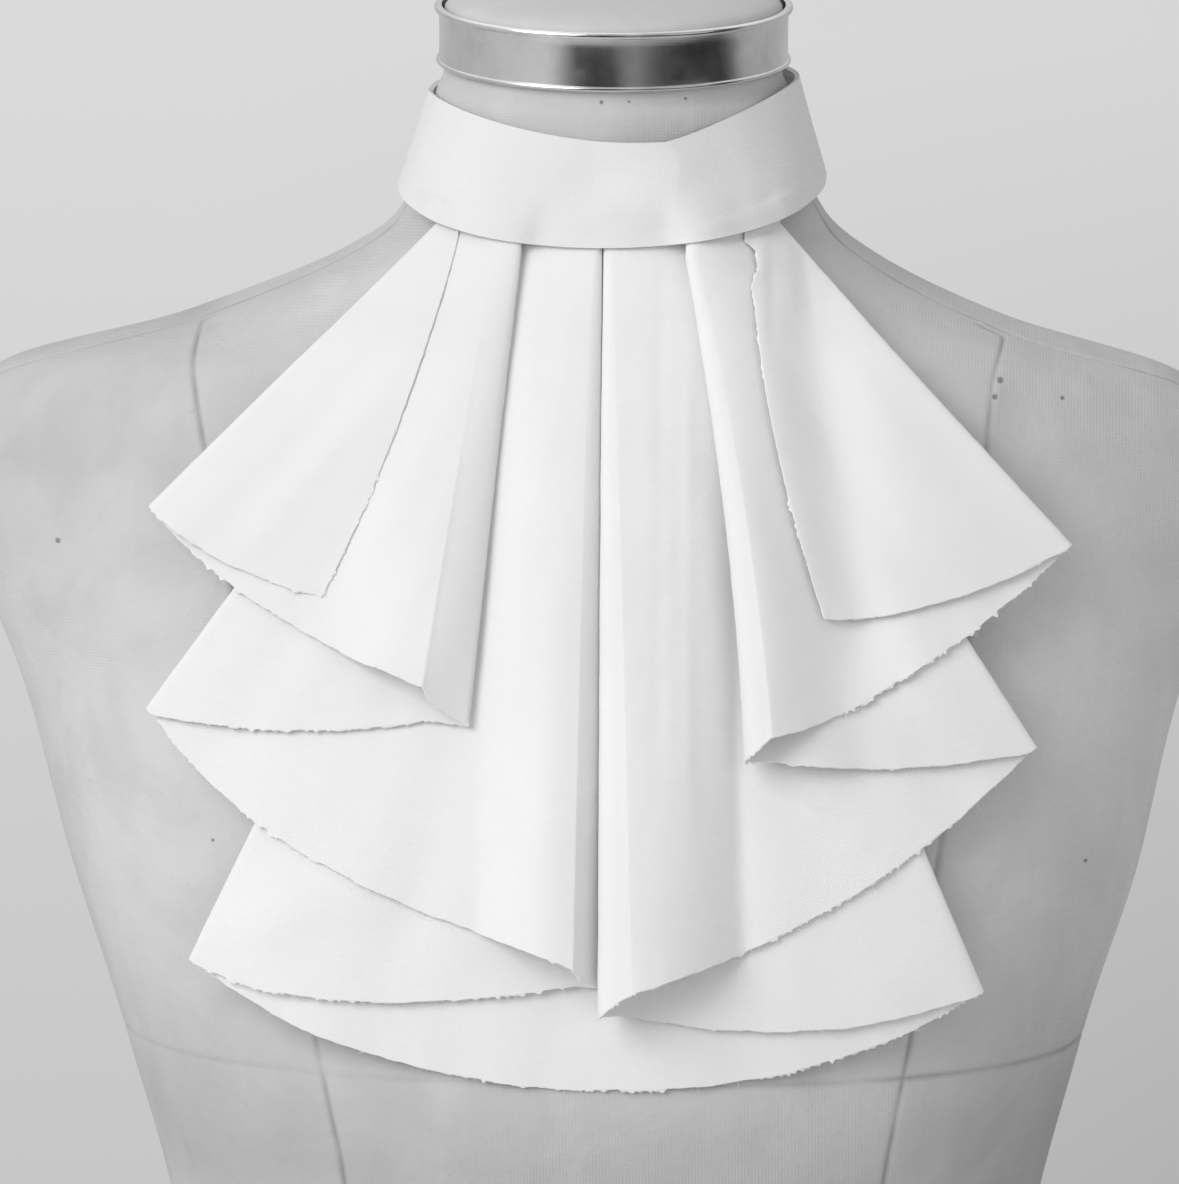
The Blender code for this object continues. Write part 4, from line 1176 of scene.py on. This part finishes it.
def turned(name, profile, sides, material, sharp_degrees):
    """A ring or disc turned from a closed profile of (radius, height), standing on the neck's axis."""
    points, loops, faces = [], [], []
    for radius, height in profile:
        count = sides if radius else 1
        loops.append([len(points) + i % count for i in range(sides)])
        around = 2 * math.pi * np.arange(count) / sides
        points += [(radius * math.cos(a), radius * math.sin(a), height) for a in around]
    for low, high in zip(loops, loops[1:] + loops[:1]):
        for j in range(sides):
            k = (j + 1) % sides
            corners = tuple(dict.fromkeys((low[j], low[k], high[k], high[j])))
            if len(corners) > 2:
                faces.append(corners)
    c, s = math.cos(math.radians(NECK_TILT)), math.sin(math.radians(NECK_TILT))
    tilted = np.array(points) @ [[1, 0, 0], [0, c, s], [0, -s, c]] + (0.0, NECK_LEAN_Y, RING_RISE)
    return new_object(name, placed(tilted), faces, material, sharp_degrees)


def make_ring(material):
    """The polished ring: a thin wall with a rolled rim above and a rolled lip below."""
    inner = RING_RADIUS - RING_WALL
    low, high = 1.6, RING_HEIGHT - 2.4  # where the plain wall starts and ends
    profile = [(inner, 0.4)]
    profile += arc((RING_RADIUS - 0.3, LIP_RADIUS), LIP_RADIUS, LIP_RADIUS, -90, 90, 8)
    for t in np.arange(1, 12) / 12:
        profile.append((RING_RADIUS - 0.35 - 0.15 * math.sin(math.pi * t), low + (high - low) * t))
    profile += arc((RING_RADIUS - 0.1, RING_HEIGHT - RIM_RADIUS), RIM_RADIUS, RIM_RADIUS, -90, 90, 10)
    profile.append((inner, RING_HEIGHT - 0.2))
    return turned("polished_ring", profile, 180, material, 60)


def make_cap(material):
    """The low dome that closes the neck inside the ring."""
    foot = (TORSO_ROWS[-1].rise - RING_RISE) / math.cos(math.radians(NECK_TILT)) + 0.6
    dome = arc((0.0, foot + 2.0), CAP_RADIUS - 0.5, CAP_DOME, 0, 90, 12)
    top = (0.0, dome[-1][1])
    profile = [(0.0, foot), (CAP_RADIUS, foot), (CAP_RADIUS, foot + CAP_EDGE), *dome[:-1], top]
    return turned("enamel_cap", profile, 128, material, 40)


# Stage, camera and light

def make_camera():
    data = bpy.data.cameras.new("camera")
    data.lens = CAMERA_LENS
    data.sensor_width = 36
    data.clip_start, data.clip_end = 0.01, 100
    camera = bpy.data.objects.new("camera", data)
    place = Matrix.Translation(placed(CAMERA_AIM))
    for degrees, axis in ((CAMERA_AZIMUTH, "Z"), (90 - CAMERA_ELEVATION, "X"), (CAMERA_ROLL, "Z")):
        place = place @ Matrix.Rotation(math.radians(degrees), 4, axis)
    camera.matrix_world = place @ Matrix.Translation((0, 0, CAMERA_DISTANCE))
    bpy.context.scene.collection.objects.link(camera)
    bpy.context.scene.camera = camera


def make_light(light):
    data = bpy.data.lights.new(light.name, "AREA")
    data.size = light.size
    data.energy = light.power
    obj = bpy.data.objects.new(light.name, data)
    obj.location = light.place
    obj.rotation_euler = (Vector(light.aim) - Vector(light.place)).to_track_quat("-Z", "Y").to_euler()
    bpy.context.scene.collection.objects.link(obj)


def make_world():
    """Soft light all round. The background that shows is pale, with painted light and shade: a little
    brighter to the left and darker lower down.
    """
    world = bpy.data.worlds.new("studio")
    bpy.context.scene.world = world
    world.use_nodes = True
    world.node_tree.nodes.clear()
    w = Nodes(world.node_tree)
    way = w.parts(w.out("TexCoord", output="Generated"))

    def even(value, low, high, new_low=0.0, new_high=1.0):
        return w.between(value, low, high, new_low, new_high, "LINEAR")

    # What the steel mirrors
    azimuth = w.maths("ARCTAN2", way["X"], w.maths("MULTIPLY", way["Y"], -1.0))
    ramp = w.add("ValToRGB", {0: even(azimuth, -math.pi, math.pi)})
    stops = ramp.color_ramp.elements
    while len(stops) < len(MIRROR_AZIMUTHS):
        stops.new(0.5)
    for stop, degrees, level in zip(stops, MIRROR_AZIMUTHS, MIRROR_LEVELS):
        stop.position = degrees / 360 + 0.5
        stop.color = grey(level)
    around = w.out("Background", {"Color": ramp.outputs[0]})
    overhead = w.out("Background", {"Strength": even(way["Z"], 0.3, 0.75, 0.0, 0.75)})
    mirrored = w.out("AddShader", {0: around, 1: overhead})

    # The backdrop that the camera sees, painted lighter to the left and darker lower down, and the light
    # that everything else gets
    downward = even(way["Z"], 0.01, -0.19)
    left, right = even(downward, 0, 1, 0.705, 0.57), even(downward, 0, 1, 0.665, 0.42)
    backdrop = w.out("Background", {"Color": even(way["X"], -0.10, 0.11, left, right)})
    soft = w.out("Background", {"Color": grey(1.0), "Strength": SOFT_LIGHT})
    ray = w.add("LightPath").outputs
    unseen = w.out("MixShader", {0: ray["Is Glossy Ray"], 1: soft, 2: mirrored})
    w.add("OutputWorld", {"Surface": w.out("MixShader", {0: ray["Is Camera Ray"], 1: unseen, 2: backdrop})})


def make_stage():
    """A pale floor that fades into the background."""
    turns = 2 * math.pi * np.arange(FLOOR_SIDES) / FLOOR_SIDES
    points = FLOOR_RADIUS * np.stack([np.cos(turns), np.sin(turns), 0 * turns], axis=1)
    m = Shading("pale floor", Roughness=0.7)
    m.join(m.between(m.vector("LENGTH", m.solid), 0.45, 1.5, 1.0, 0.0), m.shader.inputs["Alpha"])
    material = m.finished(m.blend(m.noise(m.solid, 3.0, 3.0), grey(0.66), grey(0.70)), None)
    new_object("floor", points, [tuple(range(FLOOR_SIDES))], material)


def main():
    make_camera()
    make_world()
    make_stage()
    for light in LIGHTS:
        make_light(light)

    cotton = cotton_material("white cotton", 1.0)
    torso = make_torso(canvas_material())
    ring = make_ring(steel_material())
    cap = make_cap(enamel_material())
    flounce, grid = make_flounce(cotton)
    fray = make_fray(grid, cotton)
    # The band's cotton is the same cloth at 0.92 of the tone, a little darker
    band = make_band(cotton_material("white cotton, darker", 0.92), grid)
    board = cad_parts["base_board"]
    board.data.materials.clear()
    board.data.materials.append(wood_material())

    for piece, node, slot in (
        (torso, "form_torso", "grey_canvas"),
        (ring, "neck_ring", "polished_steel"),
        (cap, "neck_cap", "grey_enamel"),
        (band, "neck_band", "white_cotton"),
        (flounce, "jabot_flounce", "white_cotton"),
    ):
        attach(piece, "root")
        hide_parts(node)
    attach(fray, "root")

    scene = bpy.context.scene
    scene.view_settings.view_transform = "Standard"
    scene.view_settings.look = "None"
    scene.cycles.max_bounces = 16
    scene.cycles.diffuse_bounces = 16
    scene.cycles.transparent_max_bounces = 8


main()
